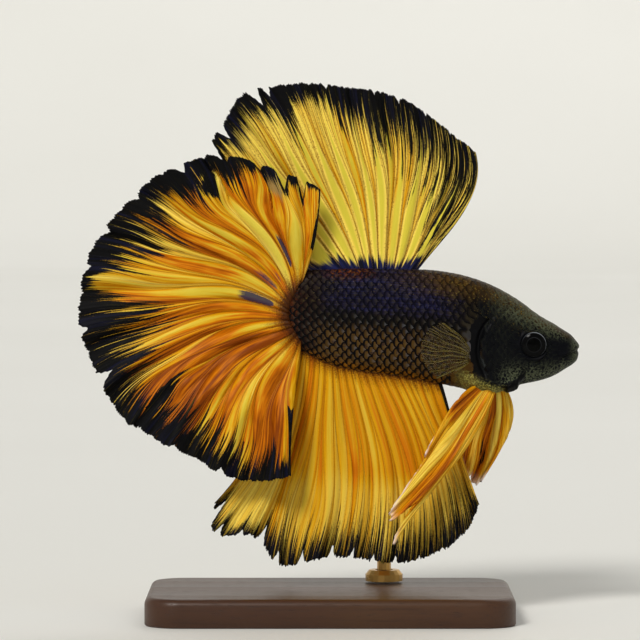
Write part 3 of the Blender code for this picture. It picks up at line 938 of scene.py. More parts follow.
def dorsal_fin():
    return Fin(
        name="dorsal_fin_sheet", centre=(0.314, 0.167), root=dorsal_root, side=dorsal_side, rise=above_back,
        guides=(
            (150, 0.69, 186, 142), (138, 0.72, 136, 138), (127, 0.755, 119, 128), (116, 0.7, 108, 118),
            (105, 0.655, 99, 108), (95, 0.62, 91, 100), (84, 0.6, 79, 96), (73, 0.562, 67, 98),
            (61, 0.53, 59, 102), (50, 0.522, 54, 107),
        ),
        bundles=12, splits=(0.12, 0.28, 0.44, 0.6), rows=95,
        folds=(
            (8, 0.014, 1.3, 0, 0), (4, 0.01, 1.5, 0.55, 0.2), (17, 0.005, 1.2, 0.2, 0.3),
            (41, 0.0024, 2.5, 0.5, 0.7),
        ),
        reach=(
            (0, 2.6), (0.1, 3.2), (0.2, 4.6), (0.255, 3.2), (0.295, 8.2), (0.335, 4.8), (0.45, 5),
            (0.58, 5.9), (0.68, 7.2), (0.76, 9.4), (0.84, 13.4), (0.92, 19), (1, 20),
        ),
        bands=(
            (0.15, 0.022, -0.6, 0.2, 1), (0.2, 0.014, 0.6, 0, 0.9), (0.24, 0.09, -0.7, 0.2, 1),
            (0.4, 0.022, -0.6, 0, 1), (0.47, 0.02, 0.5, 0, 0.9), (0.6, 0.022, -0.5, 0, 0.9),
            (0.66, 0.02, 0.6, 0, 0.8), (0.985, 0.02, -0.6, 0.3, 1),
        ),
        notches=(
            (0.055, 0.018, 0.1), (0.11, 0.012, 0.07), (0.245, 0.016, 0.085), (0.285, 0.01, 0.05),
            (0.44, 0.008, 0.02), (0.6, 0.008, 0.02), (0.68, 0.01, 0.03), (0.78, 0.008, 0.02),
            (0.88, 0.008, 0.02),
        ),
        laps=((0.27, -0.016, 0.01, 0.05, 0.6),),
        patches=((0.035, 0.05, -2, 1.9), (0.115, 0.012, 0.6, 3.4), (0.97, 0.05, -2, 3.2)),
        blots=((0.975, 0.03, 0.02, 0.12),), sway=0.18,
        solid=((0, 0.86), (0.7, 0.84), (0.82, 0.66), (0.92, 0.56), (1, 0.5)), pleat_shade=0.25, tone=-0.95,
        ribs=1.5, flare=0.00025, spread=0.13, ragged=0.012, streaky=0.4, seed=23,
    )


def anal_fin():
    return Fin(
        name="anal_fin_sheet", centre=(0.285, -0.183), root=anal_root, side=anal_side, rise=below_belly,
        guides=(
            (221, 0.69, 260, 226), (227, 0.77, 264, 232), (236, 0.69, 267, 244), (246, 0.73, 270, 262),
            (257, 0.66, 273, 256), (267, 0.65, 281, 254), (277, 0.665, 288, 257), (287, 0.673, 293, 262),
            (296, 0.662, 293, 270), (304, 0.635, 290, 281), (310, 0.594, 287, 292),
        ),
        bundles=24, splits=(0.2, 0.44, 0.66), rows=90,
        folds=(
            (10, 0.011, 1.3, 0, 0), (21, 0.0045, 1.5, 0.4, 0.2), (4.5, 0.009, 1.5, 0.1, 0.1),
            (53, 0.0022, 2.5, 0.5, 0.7),
        ),
        reach=(
            (0, 2.6), (0.08, 2.4), (0.16, 1.6), (0.22, 2.2), (0.28, 4), (0.36, 3.8), (0.44, 5), (0.52, 4.4),
            (0.62, 4.4), (0.72, 5), (0.84, 5.2), (0.94, 4.6), (1, 2),
        ),
        bands=(
            (0.05, 0.02, -0.5, 0.5, 1), (0.12, 0.025, -0.9, 0.5, 1), (0.19, 0.02, -0.7, 0.5, 1),
            (0.24, 0.015, 0.6, 0, 1), (0.3, 0.02, -0.5, 0.6, 1), (0.36, 0.014, 0.4, 0.1, 1),
            (0.41, 0.012, -0.4, 0.3, 0.9), (0.46, 0.01, 0.6, 0.5, 1), (0.52, 0.014, 0.4, 0.5, 1),
            (0.75, 0.25, 0.18, 0, 0.7), (0.7, 0.45, -0.95, 0.6, 1), (0.1, 0.14, -0.5, 0.5, 1),
        ),
        notches=(
            (0.045, 0.022, 0.12), (0.105, 0.012, 0.07), (0.165, 0.012, 0.06), (0.225, 0.014, 0.08),
            (0.29, 0.01, 0.06), (0.35, 0.01, 0.08), (0.42, 0.01, 0.07), (0.48, 0.009, 0.05),
            (0.545, 0.008, 0.035), (0.61, 0.008, 0.025), (0.68, 0.008, 0.02), (0.76, 0.008, 0.02),
        ),
        laps=((0.165, -0.014, 0.01, 0.04, 0.65), (0.35, -0.012, 0.008, 0.04, 0.65)),
        blots=((1, 0.026, 0.05, 0.12), (1, 0.012, 0.18, 0.16)), solid=((0, 0.62), (1, 0.62)),
        veins=(48, 0.8), tone=0.08, ribs=0, pleat_shade=0.1, calm=0.5, sway=0.2, ragged=0.014, streaky=0.5,
        flare=0.0003, seed=37,
    )


def ventral_fins():
    shared = {
        "centre": (0.722, -0.250), "rise": below_belly, "bundles": 5, "splits": (0.10, 0.30, 0.50),
        "ragged": 0.03, "thickness": 1.3, "spread": 0.3,
    }
    right = Fin(
        name="ventral_fin_sheet_right",
        root=lambda across: (mix(0.690, 0.728, across), np.full(across.shape, -0.215)),
        side=lambda across, along: -0.030 - 0.075 * ease(along / 0.5),
        guides=(
            (217, 0.275, 188, 238), (225, 0.4, 214, 231), (228, 0.56, 231, 222), (231.5, 0.59, 242, 226),
            (236, 0.63, 256, 242),
        ),
        rows=110, folds=((1, 0.004, 1, 0, 0), (3, 0.008, 0.8, 0.2, 0.3), (9, 0.003, 0.8, 0.1, 0.5)),
        bands=(
            (0.12, 0.14, 2.4, 0, 0.5), (0.33, 0.05, -1, 0.3, 1), (0.46, 0.04, -1.2, 0.1, 1),
            (0.58, 0.05, 0.6, 0.2, 0.8), (0.74, 0.09, 1.1, 0.1, 0.9), (0.9, 0.05, -0.9, 0.1, 1),
        ),
        notches=((0.2, 0.1, 0.1), (0.8, 0.14, 0.2), (0.6, 0.04, 0.03)), seed=41, **shared,
    )
    left = Fin(
        name="ventral_fin_sheet_left",
        root=lambda across: (mix(0.700, 0.742, across), np.full(across.shape, -0.212)),
        side=lambda across, along: 0.030 + 0.030 * ease(along / 0.5),
        guides=(
            (243, 0.285, 238, 252), (251, 0.325, 254, 250), (257, 0.335, 272, 245),
            (260.5, 0.322, 286, 239), (262, 0.28, 303, 233),
        ),
        rows=90, folds=((1, 0.01, 1, 0, 0), (4, 0.01, 0.8, 0.3, 0.2), (11, 0.003, 0.8, 0.1, 0.4)),
        bands=(
            (0.12, 0.08, 1.5, 0, 1), (0.3, 0.04, -1.2, 0, 1), (0.45, 0.07, 1.6, 0, 1),
            (0.62, 0.04, -1, 0, 1), (0.76, 0.06, 1.2, 0, 1), (0.93, 0.06, -1, 0, 1),
        ),
        notches=((0.35, 0.08, 0.06), (0.7, 0.06, 0.05)),
        blots=((0.42, 0.024, 0.66, 0.12), (0.5, 0.02, 0.74, 0.09), (0.46, 0.04, 0.8, 0.05)), stiffness=0.46,
        seed=43, **shared,
    )
    return right, left


def pectoral_fin(name, side, seed):
    """The clear fin of one side, which stands out from the flank as it goes back."""
    flank = float(body_section(np.array(0.628))[2])
    return Fin(
        name=name, centre=(0.628, -0.125),
        root=lambda across: (mix(0.630, 0.626, across), mix(-0.100, -0.150, across)),
        side=lambda across, along: side * (flank - 0.012 + 0.085 * along),
        rise=lambda world: (0.63 - (world[..., 0] - TAIL_ROOT[0]) / BODY_LENGTH) * BODY_LENGTH,
        guides=(
            (128, 0.15, 112, 140), (148, 0.172, 136, 158), (170, 0.172, 166, 176), (192, 0.158, 196, 190),
            (214, 0.132, 224, 208),
        ),
        bundles=11, splits=(0.35,), rows=44, folds=((3, 0.004, 1, 0, 0), (6, 0.003, 1.2, 0.3, 0)),
        ragged=0.05, thickness=0.6, spread=0.22, seed=seed,
    )


def fin_paint(name, thin=0.8, dusk=0.0, ray_line=0.55, blush=0.0, fleck=0.0, flames=0.0, wild=1.0):
    """Silky fin membrane, pale where thin and orange in the folds, partly as painted shade, with a sooty
    margin.

    Thin, ray_line, fleck and wild are strengths, of the pale membrane, the rusty rays, their
    specks and the streaks. Dusk and flames are how many millimetres the rusty and the blue-black
    shade at the root reach. Blush is where along the ray the pale tips start.
    """
    tone = tones()
    paint = Paint(name, Specular_IOR_Level=0.07)
    step, given = paint.step, paint.given
    off, dark, tint, root, blue = (given(key) for key in ("off", "dark", "tint", "root", "blue"))
    lie = paint.chart("Lie")
    silk = paint.noise(lie, (7.0, 1.5, 1.0), 3.0, 0.6)
    strand = paint.noise(lie, (17.0, 1.8, 1.0), 3.0, 0.65)
    hair = paint.noise(lie, (44.0, 2.2, 1.0), 3.0, 0.65)
    grain = paint.grain(5200.0, 2.0, 0.6)
    # Warmth is the tint, with its painted light and shade of the folds, plus streaks
    warmth = tint + (silk - 0.5) * 3.2 * wild + (strand - 0.5) * 4.6 * wild
    warmth = warmth + (hair - 0.5) * 3.0 * (0.4 + 0.6 * wild)
    paint.colour = paint.ramp(
        warmth * 0.30 + 0.46, (0.0, tone.cream), (0.22, mixed(tone.cream, tone.gold, 0.5)),
        (0.48, tone.gold), (0.70, tone.orange), (0.88, mixed(tone.orange, tone.rust, 0.6)),
        (1.0, tone.rust),
    )
    paint.coat(tone.pale, step(off, 0.14, 0.44) * thin * step(warmth, 1.1, -0.5))
    paint.coat(tone.rust, step(off, 0.12, 0.02) * ray_line * step(hair, 0.36, 0.60))
    if fleck:
        paint.coat(tone.rust, step(grain, 0.54, 0.68) * step(off, 0.30, 0.05) * fleck)
    if flames:
        tongue = flames + (strand - 0.5) * 5.0 * flames + (silk - 0.5) * 3.0 * flames
        night = paint.blend(tone.navy, tone.soot, step(strand, 0.42, 0.66))
        paint.coat(night, step(root - tongue, 0.35, -0.75))
    if dusk:
        mottle = step(root + (grain - 0.5) * 3.0 + (strand - 0.5) * 5.0, dusk, -0.3)
        paint.coat(mixed(tone.rust, tone.umber, 0.25), mottle * 0.85)
        heel = step(root + (grain - 0.5) * 2.2, dusk * 0.40, -0.5)
        paint.coat(mixed(tone.umber, tone.rust, 0.13), heel * 0.9)
    patch = 0.66 + step(off, 0.06, 0.34) * 0.5 + (grain - 0.5) * 0.5 + (hair - 0.5) * 1.3
    paint.coat(mixed(tone.navy, tone.ash, 0.05), step(blue * patch, 0.44, 0.78) * 0.92)
    haze = step(given("mist") + (strand - 0.5) * 1.6, 0.20, 0.60)
    paint.coat(mixed(tone.ash, tone.gold, 0.20), haze * 0.8)
    if blush:
        paint.coat(tone.blush, step(paint.part(lie, 1) + (strand - 0.5) * 0.25, blush, blush + 0.09))
    streaks = (hair - 0.5) * 5.6 + (strand - 0.5) * 5.0 + (silk - 0.5) * 1.6
    margin = step(dark * 1.9 + streaks + (grain - 0.5) * 0.8, -0.10, 0.40)
    black = paint.blend(tone.soot, mixed(tone.soot, tone.navy, 0.22), step(silk, 0.52, 0.68))
    worn = paint.blend(black, mixed(tone.soot, tone.pale, 0.12), step(hair, 0.58, 0.76))
    paint.coat(worn, margin)
    height = step(off, 0.14, 0.0) * 0.5 + strand * 0.5 + hair * 0.35 + grain * 0.1
    return paint.finish(height, 0.00004, Roughness=0.46 + (grain - 0.5) * 0.16 + margin * 0.12)


def mixed(low, high, share):
    return tuple(mix(a, b, share) for a, b in zip(low, high))


def clear_paint(name):
    """Pectoral membrane: dark glassy skin between pale yellow rays."""
    tone = tones()
    paint = Paint(name, Specular_IOR_Level=0.45)
    strand = paint.noise(paint.chart("Lie"), (8.0, 3.0, 1.0), 3.0, 0.6)
    grain = paint.grain(6000.0, 2.0, 0.6)
    ray = paint.step(paint.given("off"), 0.10, 0.01) * paint.step(strand, 0.30, 0.60)
    paint.colour = paint.blend(tone.umber, mixed(tone.umber, tone.bronze, 0.7), strand)
    paint.coat(mixed(tone.bronze, tone.pale, 0.34), ray * 0.7)
    paint.coat(tone.umber, paint.step(grain, 0.60, 0.75) * 0.5)
    return paint.finish(
        ray + grain * 0.2, 0.00005, Roughness=0.32 + (grain - 0.5) * 0.15, Alpha=0.24 + ray * 0.55
    )


# ---------------------------------------------------------------- skin and scales


def body_tones(paint):
    """Paints the fish's hide, the same on skin and scales, and returns what both use again."""
    tone = tones()
    step, between, coat = paint.step, paint.between, paint.coat
    place = paint.chart("Place")
    along, level = paint.part(place, 0), paint.part(place, 1)
    cloud, fleck = paint.grain(420.0, 3.0, 0.6), paint.grain(3600.0, 2.0, 0.6)
    glint = paint.grain((1500.0, 2400.0, 1500.0), 2.0, 0.5)
    high = level + (cloud - 0.5) * 0.16
    fore = along + (cloud - 0.5) * 0.10
    # Flank: bronze below, dark above, with a violet band and blue streaks on it
    paint.colour = paint.blend(tone.bronze, tone.umber, step(high, 0.30, 0.50))
    band = step(high, 0.52, 0.66) * between(fore, 0.06, 0.24, 0.50, 0.63)
    coat(tone.violet, band)
    streak = paint.noise(place, (5.0, 46.0, 1.0), 2.0, 0.5)
    royal = band * step(streak, 0.46, 0.60) * step(fleck, 0.30, 0.60)
    coat(mixed(tone.violet, tone.navy, 0.9), royal)
    # Back: a rusty saddle, then the bronze nape
    saddle = step(high, 0.86, 0.98) * between(fore, 0.12, 0.18, 0.26, 0.34)
    coat(mixed(tone.umber, tone.rust, 0.6), saddle * step(fleck, 0.40, 0.62))
    nape = step(high, 0.74, 0.94) * step(fore, 0.30, 0.62)
    coat(mixed(tone.umber, tone.bronze, 0.75), nape)
    coat(tone.violet, step(glint, 0.54, 0.66) * step(high, 0.75, 0.35) * 0.55)
    # Tail stalk
    coat(tone.maroon, step(fore, 0.17, 0.07))
    coat(mixed(tone.umber, tone.rust, 0.5), step(along + (fleck - 0.5) * 0.14, 0.065, -0.02))
    # Head: ink, with a pale net over the jaw and the crown, and pale lips
    head = step(fore, 0.625, 0.675) * (1 - nape * 0.6)
    coat(tone.ink, head)
    vein = step(paint.seams(2300.0) + (fleck - 0.5) * 0.9, 0.14, 0.02)
    jaw = step(level, 0.36, 0.05) * step(along, 0.70, 0.78)
    crown = step(level, 0.62, 0.90) * between(along, 0.68, 0.80, 0.93, 0.985)
    coat(mixed(tone.ink, tone.ash, 0.74), jaw.larger(crown * 0.7) * vein)
    coat(mixed(tone.ink, tone.ash, 0.7), step(along, 0.955, 1.0) * step(fleck, 0.35, 0.60))
    # Breast, with the black frill before it, and the belly
    slope = level + (along - 0.60) * 0.75 + (fleck - 0.5) * 0.08
    breast = step(slope, 0.19, 0.13) * between(along, 0.57, 0.62, 0.74, 0.77)
    chest = mixed(mixed(tone.ash, tone.pale, 0.40), tone.umber, 0.12)
    coat(chest, breast * (0.35 + vein.clamped() * 0.65))
    frill = step(level + (fleck - 0.5) * 0.03, 0.065, 0.035)
    coat(tone.soot, frill * between(along, 0.742, 0.756, 0.796, 0.812) * 0.9)
    belly = step(level + (fleck - 0.5) * 0.16, 0.115, 0.02) * between(along, 0.05, 0.12, 0.50, 0.58)
    coat(mixed(tone.rust, tone.gold, 0.25), belly * step(fleck, 0.40, 0.60))
    sparks = step(fleck, 0.60, 0.72) * (nape * 0.7 + step(high, 0.55, 0.70) * 0.25)
    coat(mixed(tone.bronze, tone.cream, 0.25), sparks * step(along, 0.92, 0.80))
    return fleck, cloud, head, breast


def head_light(paint):
    """1 on the crown and along the jaw, where the head's mottle is palest."""
    place = paint.chart("Place")
    along, level = paint.part(place, 0), paint.part(place, 1)
    crown = paint.step(level, 0.66, 0.86) * paint.step(along, 0.68, 0.78)
    return crown.larger(paint.step(level, 0.26, 0.05) * paint.step(along, 0.72, 0.78))


def skin_paint():
    """The bare hide, black with painted shade in the gill slot, with a faint painted gleam along the gill
    cover's edge.
    """
    tone = tones()
    paint = Paint("fish_hide", Specular_IOR_Level=0.05)
    fleck, cloud, _, breast = body_tones(paint)
    # Black skin and painted shade in the gill slot and the hollow under it
    paint.coat(tone.soot, paint.given("gulf").clamped() * (1 - breast))
    paint.coat(tone.ink, paint.step(cloud, 0.62, 0.45) * 0.35)
    # Painted highlight: a bluish-grey gleam along the gill cover's edge
    gleam = paint.given("brim") * paint.step(fleck, 0.30, 0.62) * 0.6
    paint.coat(mixed(tone.navy, tone.ash, 0.45), gleam)
    return paint.finish(fleck, 0.00003, Roughness=0.42 + (fleck - 0.5) * 0.25)


def scale_paint(name, rim_colour, heart):
    """Scales with a dark or pale rim; a heart above 0 also gives them a brighter middle and, on the lower
    flank, a painted violet glint.
    """
    tone = tones()
    paint = Paint(name, Specular_IOR_Level=0.05)
    step = paint.step
    fleck, cloud, head, _ = body_tones(paint)
    edge, chance = paint.given("edge"), paint.given("chance")
    paint.coat(tone.ink, step(chance, 0.35, 1.0) * 0.35)
    rim = step(edge + (fleck - 0.5) * 0.16, 0.58, 0.84)
    if heart:
        place = paint.chart("Place")
        along, level = paint.part(place, 0), paint.part(place, 1)
        paint.coat(mixed(tone.bronze, tone.ash, 0.35), step(edge, 0.75, 0.25) * heart * (1 - head))
        # Painted highlight: a violet-silver glint in the middle of the lower flank's scales
        scale_glint = step(edge, 0.50, 0.15) * paint.between(level, 0.04, 0.16, 0.45, 0.62)
        scale_glint = scale_glint * (0.25 + chance * 0.75) * (1 - head) * (0.35 + step(along, 0.10, 0.24) * 0.65)
        paint.coat(mixed(tone.violet, tone.silver, 0.26), scale_glint * 0.62)
        rim = rim * (1 - step(level, 0.52, 0.72) * 0.45)
    else:
        rim = rim * (head_light(paint) * 0.92 + 0.08) * step(cloud, 0.32, 0.54) * (0.35 + chance * 0.65)
    paint.coat(rim_colour, rim)
    return paint.finish(fleck, 0.00002, Roughness=0.38 + (fleck - 0.5) * 0.22)


def build_skin():
    """One skin over head, trunk, tail stalk, jaw and gill covers."""
    first, face, last = 0.0016, 0.655, 0.9984  # the rings lie closer from the face on
    trunk = np.linspace(first, face, 150, endpoint=False)
    head = face + (last - face) * np.linspace(0, 1, 230)
    along = np.concatenate((trunk, head))
    girth = np.linspace(0, 1, 193)[:-1]
    rings, turns = len(along), len(girth)
    grid_along, grid_girth = np.meshgrid(along, girth, indexing="ij")
    points, level = skin_place(grid_along, grid_girth)
    ends = points[[0, -1]].mean(axis=1) + ((-0.00002, 0, 0), (0.00002, 0, 0))
    points = np.concatenate((points.reshape(-1, 3), ends))
    index = ring_grid(rings, turns)
    faces = [grid_quads(index), fan(index[0], rings * turns), fan(index[-1, ::-1], rings * turns + 1)]
    sides = mix(0.02, 0.98, (along - along[0]) / np.ptp(along)), mix(0.01, 0.99, np.linspace(0, 1, turns + 1))
    flat = np.stack(np.meshgrid(*sides, indexing="ij"), axis=-1)
    bake = [grid_quads(flat)]
    for line, beyond in ((flat[0], -0.015), (flat[-1, ::-1], 0.015)):
        tip = (line[:-1] + line[1:]) / 2 + (beyond, 0)
        bake.append(np.stack((line[:-1], line[1:], tip), axis=1))
    place = np.stack((grid_along, level), axis=-1).reshape(-1, 2)
    place = np.concatenate((place, ((0.0, 0.5), (1.0, 0.5))))
    # Black of the gill slot and of the hollow under it, with painted shade in them, and a painted gleam on
    # the gill cover's edge
    shares = (points - TAIL_ROOT) / BODY_LENGTH
    depth, angle = gill_depth(shares[:, 0], shares[:, 2])
    slot = gill_share(angle) * hump(depth, -0.024, 0.030)
    under = ease((angle - 225) / 15) * ease((335 - angle) / 25)
    gulf = np.maximum(slot * 1.6, under * hump(depth, -0.016, 0.014) * 1.4)
    brim = ease((angle - 175) / 20) * ease((318 - angle) / 20) * hump(depth, 0.006, 0.008)
    charts = {"OFBake": bake, "Place": place}
    return make_piece("fish_skin", points, faces, charts, {"gulf": gulf, "brim": brim}, skin_paint())


ACROSS_POINTS = 6  # of a scale's grid
LENGTH_POINTS = 7
SUNK = -0.03 * MM  # how far a scale's front edge lies under the skin
SCALE_PATCH = 0.003  # width of a scale's patch on the bake map


def scale_layout(rows, pitch, low, high, keep, chance):
    """Staggered rows of scale centres along the body, where keep says so."""
    centres = np.array([
        (place, (row + 0.5) / rows)
        for row in range(rows)
        for place in np.arange(low + (row % 2) * pitch / 2, high, pitch)
    ])
    centres[:, 0] += chance.uniform(-0.06, 0.06, len(centres)) * pitch
    return centres[keep(centres[:, 0], centres[:, 1])]


def shares_at(along, girth):
    """The plain body form at places along it and girth shares round it."""
    return body_shares(along, np.interp(girth, GIRTHS, TURNS))


def build_scales(name, centres, long, wide, lift, material, chance):
    """Overlapping scales as thin closed shields, free at the rear rim and sunk at the front."""
    # A shield with rounded corners, x across and y towards the free rim
    shape = (ACROSS_POINTS, LENGTH_POINTS)
    p, q = np.meshgrid(*(np.linspace(-1, 1, count) for count in shape), indexing="ij")
    x, y = (p * np.sqrt(1 - q * q * 0.30)).ravel(), (q * np.sqrt(1 - p * p * 0.42)).ravel()
    index = np.arange(p.size).reshape(shape)
    ring = np.concatenate((index[:-1, 0], index[-1, :-1], index[:0:-1, -1], index[0, :0:-1]))
    each, rim, total = len(centres), len(ring), p.size + len(ring)
    size = chance.uniform(0.94, 1.06, each)
    along = centres[:, :1] - y * long / 2 * size[:, None]
    girth = centres[:, 1:] + x * wide / 2 * size[:, None]
    radius = np.maximum(np.abs(p), np.abs(q)).ravel()
    rise = SUNK + (lift - SUNK) * ease((y + 1) / 2) + 0.05 * MM * (1 - radius**2)
    top, level = skin_place(along, girth, rise * chance.uniform(0.85, 1.1, (each, 1)))
    foot, foot_level = skin_place(along[:, ring], girth[:, ring], np.full((each, rim), 2 * SUNK))
    points = np.concatenate((top, foot), axis=1).reshape(-1, 3)
    lower = np.arange(rim) + p.size
    walls = strip_quads(np.append(ring, ring[0]), np.append(lower, lower[0]))
    starts = (np.arange(each) * total)[:, None, None]
    faces = [
        (part[None] + starts).reshape(-1, part.shape[1])
        for part in (grid_quads(index), walls, lower[None, ::-1])
    ]
    # Each scale is a small patch at its own place on the body's unwrap, its floor beside it
    spread = np.stack((-y, x), axis=-1)
    local = np.concatenate((spread, spread[ring] * 1.12)) * SCALE_PATCH / 2
    patch = np.stack((mix(0.03, 0.97, centres[:, 0]), mix(0.02, 0.98, centres[:, 1])), axis=-1)
    above = (patch[:, None] + local).reshape(-1, 2)
    beneath = (patch[:, None] + local * 0.2 + (SCALE_PATCH, 0)).reshape(-1, 2)
    bake = [sheet[part] for sheet, part in zip((above, above, beneath), faces)]
    every = np.concatenate((np.arange(p.size), ring))
    place = (np.clip(along[:, every], 0, 1), np.concatenate((level, foot_level), axis=1))
    place = np.stack(place, axis=-1).reshape(-1, 2)
    edge = np.tile(np.concatenate((radius * ease((y + 0.5) / 0.5), np.ones(rim))), each)
    luck = np.repeat(chance.uniform(0, 1, each), total)
    charts, values = {"OFBake": bake, "Place": place}, {"edge": edge, "chance": luck}
    return make_piece(name, points, faces, charts, values, material)


def on_body(along, girth):
    """Where the large flank scales lie: behind the gill opening and short of the nape."""
    height = shares_at(along, girth)[:, 2]
    depth, _ = gill_depth(along, height)
    chest = (level_at(along, height) < 0.22) & (along > 0.59)
    behind = ((depth < -0.052) | (along < 0.62)) & ~chest
    return behind & (along < mix(0.66, 0.70, ease((height - 0.02) / 0.05)))


def on_head(along, girth):
    """Where the small head scales lie: crown and cheek, clear of the eye, gill edge and mouth."""
    height = shares_at(along, girth)[:, 2]
    depth, angle = gill_depth(along, height)
    level = level_at(along, height)
    eye = eye_distance(along, height)
    near_edge = (np.abs(depth + 0.012) < 0.026) & (angle > 130) & (angle < 330)
    crown = (level > 0.72) & (along < 0.93)
    cheek = (depth > 0.010) & (eye > 1.45)
    beyond = (along > 0.79) & (along < 0.925) & (level > 0.10)
    clear = (eye > 1.32) & ~near_edge & ((level > 0.06) | (along > 0.8))
    chest = (level < 0.24) & (along > 0.575) & (along < 0.715) & (depth < -0.045)
    return (clear & (crown | cheek | beyond) & (along > 0.665)) | chest


# ---------------------------------------------------------------- eyes


def eye_paint():
    """Glossy black pupil in a dark iris, with a fine silver ring, and a painted highlight on the ring and the
    pupil's halo towards the top and the snout.
    """
    tone = tones()
    gloss = {"Roughness": 0.10, "Specular_IOR_Level": 0.03, "Coat_Weight": 0.05, "Coat_Roughness": 0.02}
    paint = Paint("eye_gloss", **gloss)
    step = paint.step
    ring, lit = paint.given("ring"), paint.given("lit")
    grain = paint.grain(9000.0, 3.0, 0.6)
    iris = paint.blend(mixed(tone.soot, BLACK, 0.7), tone.soot, grain)
    paint.colour = paint.blend(mixed(tone.soot, BLACK, 0.9), iris, step(ring, 0.53, 0.57))
    # Painted highlight: the halo and the silver rim grow lighter where lit says the light falls
    halo = paint.between(ring, 0.535, 0.550, 0.560, 0.585)
    paint.coat(mixed(tone.ink, tone.silver, 0.10), halo * (0.25 + lit * 0.5))
    rim = step(ring + (grain - 0.5) * 0.03, 0.90, 0.925) * step(ring, 0.975, 0.950)
    paint.coat(tone.silver, rim * (0.03 + lit * 0.55))
    paint.coat(tone.soot, step(ring, 0.96, 0.995))
    return paint.finish(grain, 0.000004)


def build_eye(name, side, material):
    """A low dome, clear of the orbit's rim, with its edge tucked into the socket."""
    rings, turns = 30, 64
    share = np.linspace(0, 1, rings + 1)[1:]
    turn = np.linspace(0, 2 * math.pi, turns, endpoint=False)
    bulge, tuck, lift, sunk = 0.48 * MM, 0.55 * MM, 0.03 * MM, 0.40 * MM
    dome = bulge * (1 - share**2) - tuck * ease((share - 0.90) / 0.10) + lift
    x, z = (share[:, None] * wave(turn) * EYE_RADIUS for wave in (np.cos, np.sin))
    y = np.broadcast_to(dome[:, None], x.shape)
    top = np.stack((x, y, z), axis=-1).reshape(-1, 3)
    foot = np.stack((0.7 * x[-1], np.full(turns, -1.1 * MM), 0.7 * z[-1]), axis=-1)
    middles = ((0, dome[0] + 0.001 * MM, 0), (0, -1.2 * MM, 0))
    local = np.concatenate((top, foot, middles))
    centre = to_world(EYE_PLACE[0], 0.0, EYE_PLACE[1]) + (0, side * (EYE_OUT - sunk), 0)
    index, hub = ring_grid(rings + 1, turns), (rings + 1) * turns
    faces = [grid_quads(index), fan(index[0, ::-1], hub), fan(index[-1], hub + 1)]
    ring = np.concatenate((np.repeat(share, turns), np.full(turns, 1.2), (0.0, 1.4)))
    brightest = math.radians(52)  # where the painted highlight on the silver ring is brightest
    lit = 0.5 + 0.5 * np.cos(np.arctan2(local[:, 2], local[:, 0]) - brightest)
    # The map is the eye seen from the front; the hidden back goes to a free corner of it
    flat = local[:, ::2] / np.maximum(np.linalg.norm(local[:, ::2], axis=1, keepdims=True), 1e-9)
    flat = 0.5 + 0.5 * flat * ring[:, None] / 1.45
    flat[hub:] = 0.5
    bake = [flat[faces[0]], flat[faces[1]], flat[faces[2]] * 0.1]
    values = {"ring": ring, "lit": lit**2}
    return make_piece(name, centre + local * (1, side, 1), faces, {"OFBake": bake}, values, material)


# ---------------------------------------------------------------- stand and stage


def walnut_paint():
    """Satin walnut, with its figure along X, fine fibres and open pores."""
    tone = tones()
    paint = Paint("walnut_satin", Specular_IOR_Level=0.35)
    figure = paint.node(
        "ShaderNodeTexWave", {"bands_direction": "Y", "wave_profile": "SAW"},
        {0: paint.stretched(paint.space(), 9.0, 120.0, 60.0), 1: 0.35, 2: 14.0, 3: 3.0, 4: 0.35, 5: 0.6}, 1,
    )
    sway = paint.step(paint.grain((22.0, 60.0, 60.0), 2.0, 0.5), 0.42, 0.72)
    fibre = paint.step(paint.grain((70.0, 2600.0, 2600.0), 4.0, 0.7), 0.50, 0.72)
    pore = paint.step(paint.grain((420.0, 7000.0, 7000.0), 2.0, 0.6), 0.60, 0.72)
    paint.colour = paint.blend(mixed(tone.walnut, tone.soot, 0.35), tone.walnut, figure)
    paint.coat(mixed(tone.walnut, tone.bronze, 0.5), sway * 0.6)
    paint.coat(mixed(tone.walnut, tone.soot, 0.6), fibre * 0.55)
    paint.coat(mixed(tone.walnut, tone.soot, 0.8), pore * 0.7)
    return paint.finish(1 - pore, 0.00002, Roughness=0.38 + figure * 0.06 + pore * 0.2)


def build_base(material):
    """The stand's base with rounded corners and edges, the size of its solid."""
    low, high = (np.array(corner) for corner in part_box("stand_base"))
    middle, half = (low + high) / 2, (high - low) / 2
    corner, edge, foot = 0.0050, 0.0010, 0.0002
    quarter = np.linspace(0, math.pi / 2, 13)
    turn = np.concatenate([quarter + k * math.pi / 2 for k in range(4)])
    outward = np.stack((np.cos(turn), np.sin(turn)), axis=-1)
    signs = np.repeat(((1, 1), (-1, 1), (-1, -1), (1, -1)), len(quarter), axis=0)
    outline = (half[:2] - corner) * signs + outward * corner + middle[:2]
    lift = np.linspace(0, math.pi / 2, 7)[1:]
    inset = np.concatenate(((foot, 0.0, 0.0), edge * (1 - np.cos(lift))))
    top = high[2] - edge
    height = np.concatenate(((low[2], low[2] + foot, top), top + edge * np.sin(lift)))
    rings = outline - outward * inset[:, None, None]
    level = np.broadcast_to(height[:, None, None], (*rings.shape[:2], 1))
    points = np.concatenate((rings, level), axis=-1).reshape(-1, 3)
    index = ring_grid(len(inset), len(outline))
    faces = [grid_quads(index)[:, ::-1], index[-1:, :-1], index[:1, -2::-1]]
    base = make_piece("walnut_base", points, faces, {}, {}, material)
    for cap in list(base.data.polygons)[-2:]:
        cap.use_smooth = False
    place_piece(base, "stand_wood", "stand_base")


def brass_paint():
    """Brushed brass, a little tarnished."""
    tone = tones()
    paint = Paint("brass_brushed", Metallic=1.0)
    brush = paint.grain((900.0, 900.0, 26000.0), 3.0, 0.6)
    tarnish = paint.grain(260.0, 4.0, 0.6)
    worn = mixed(tone.brass, tone.bronze, 0.55)
    paint.colour = paint.blend(tone.brass, worn, paint.step(tarnish, 0.50, 0.72))
    return paint.finish(brush, 0.000006, Roughness=0.24 + brush * 0.16 + (tarnish - 0.5) * 0.2)


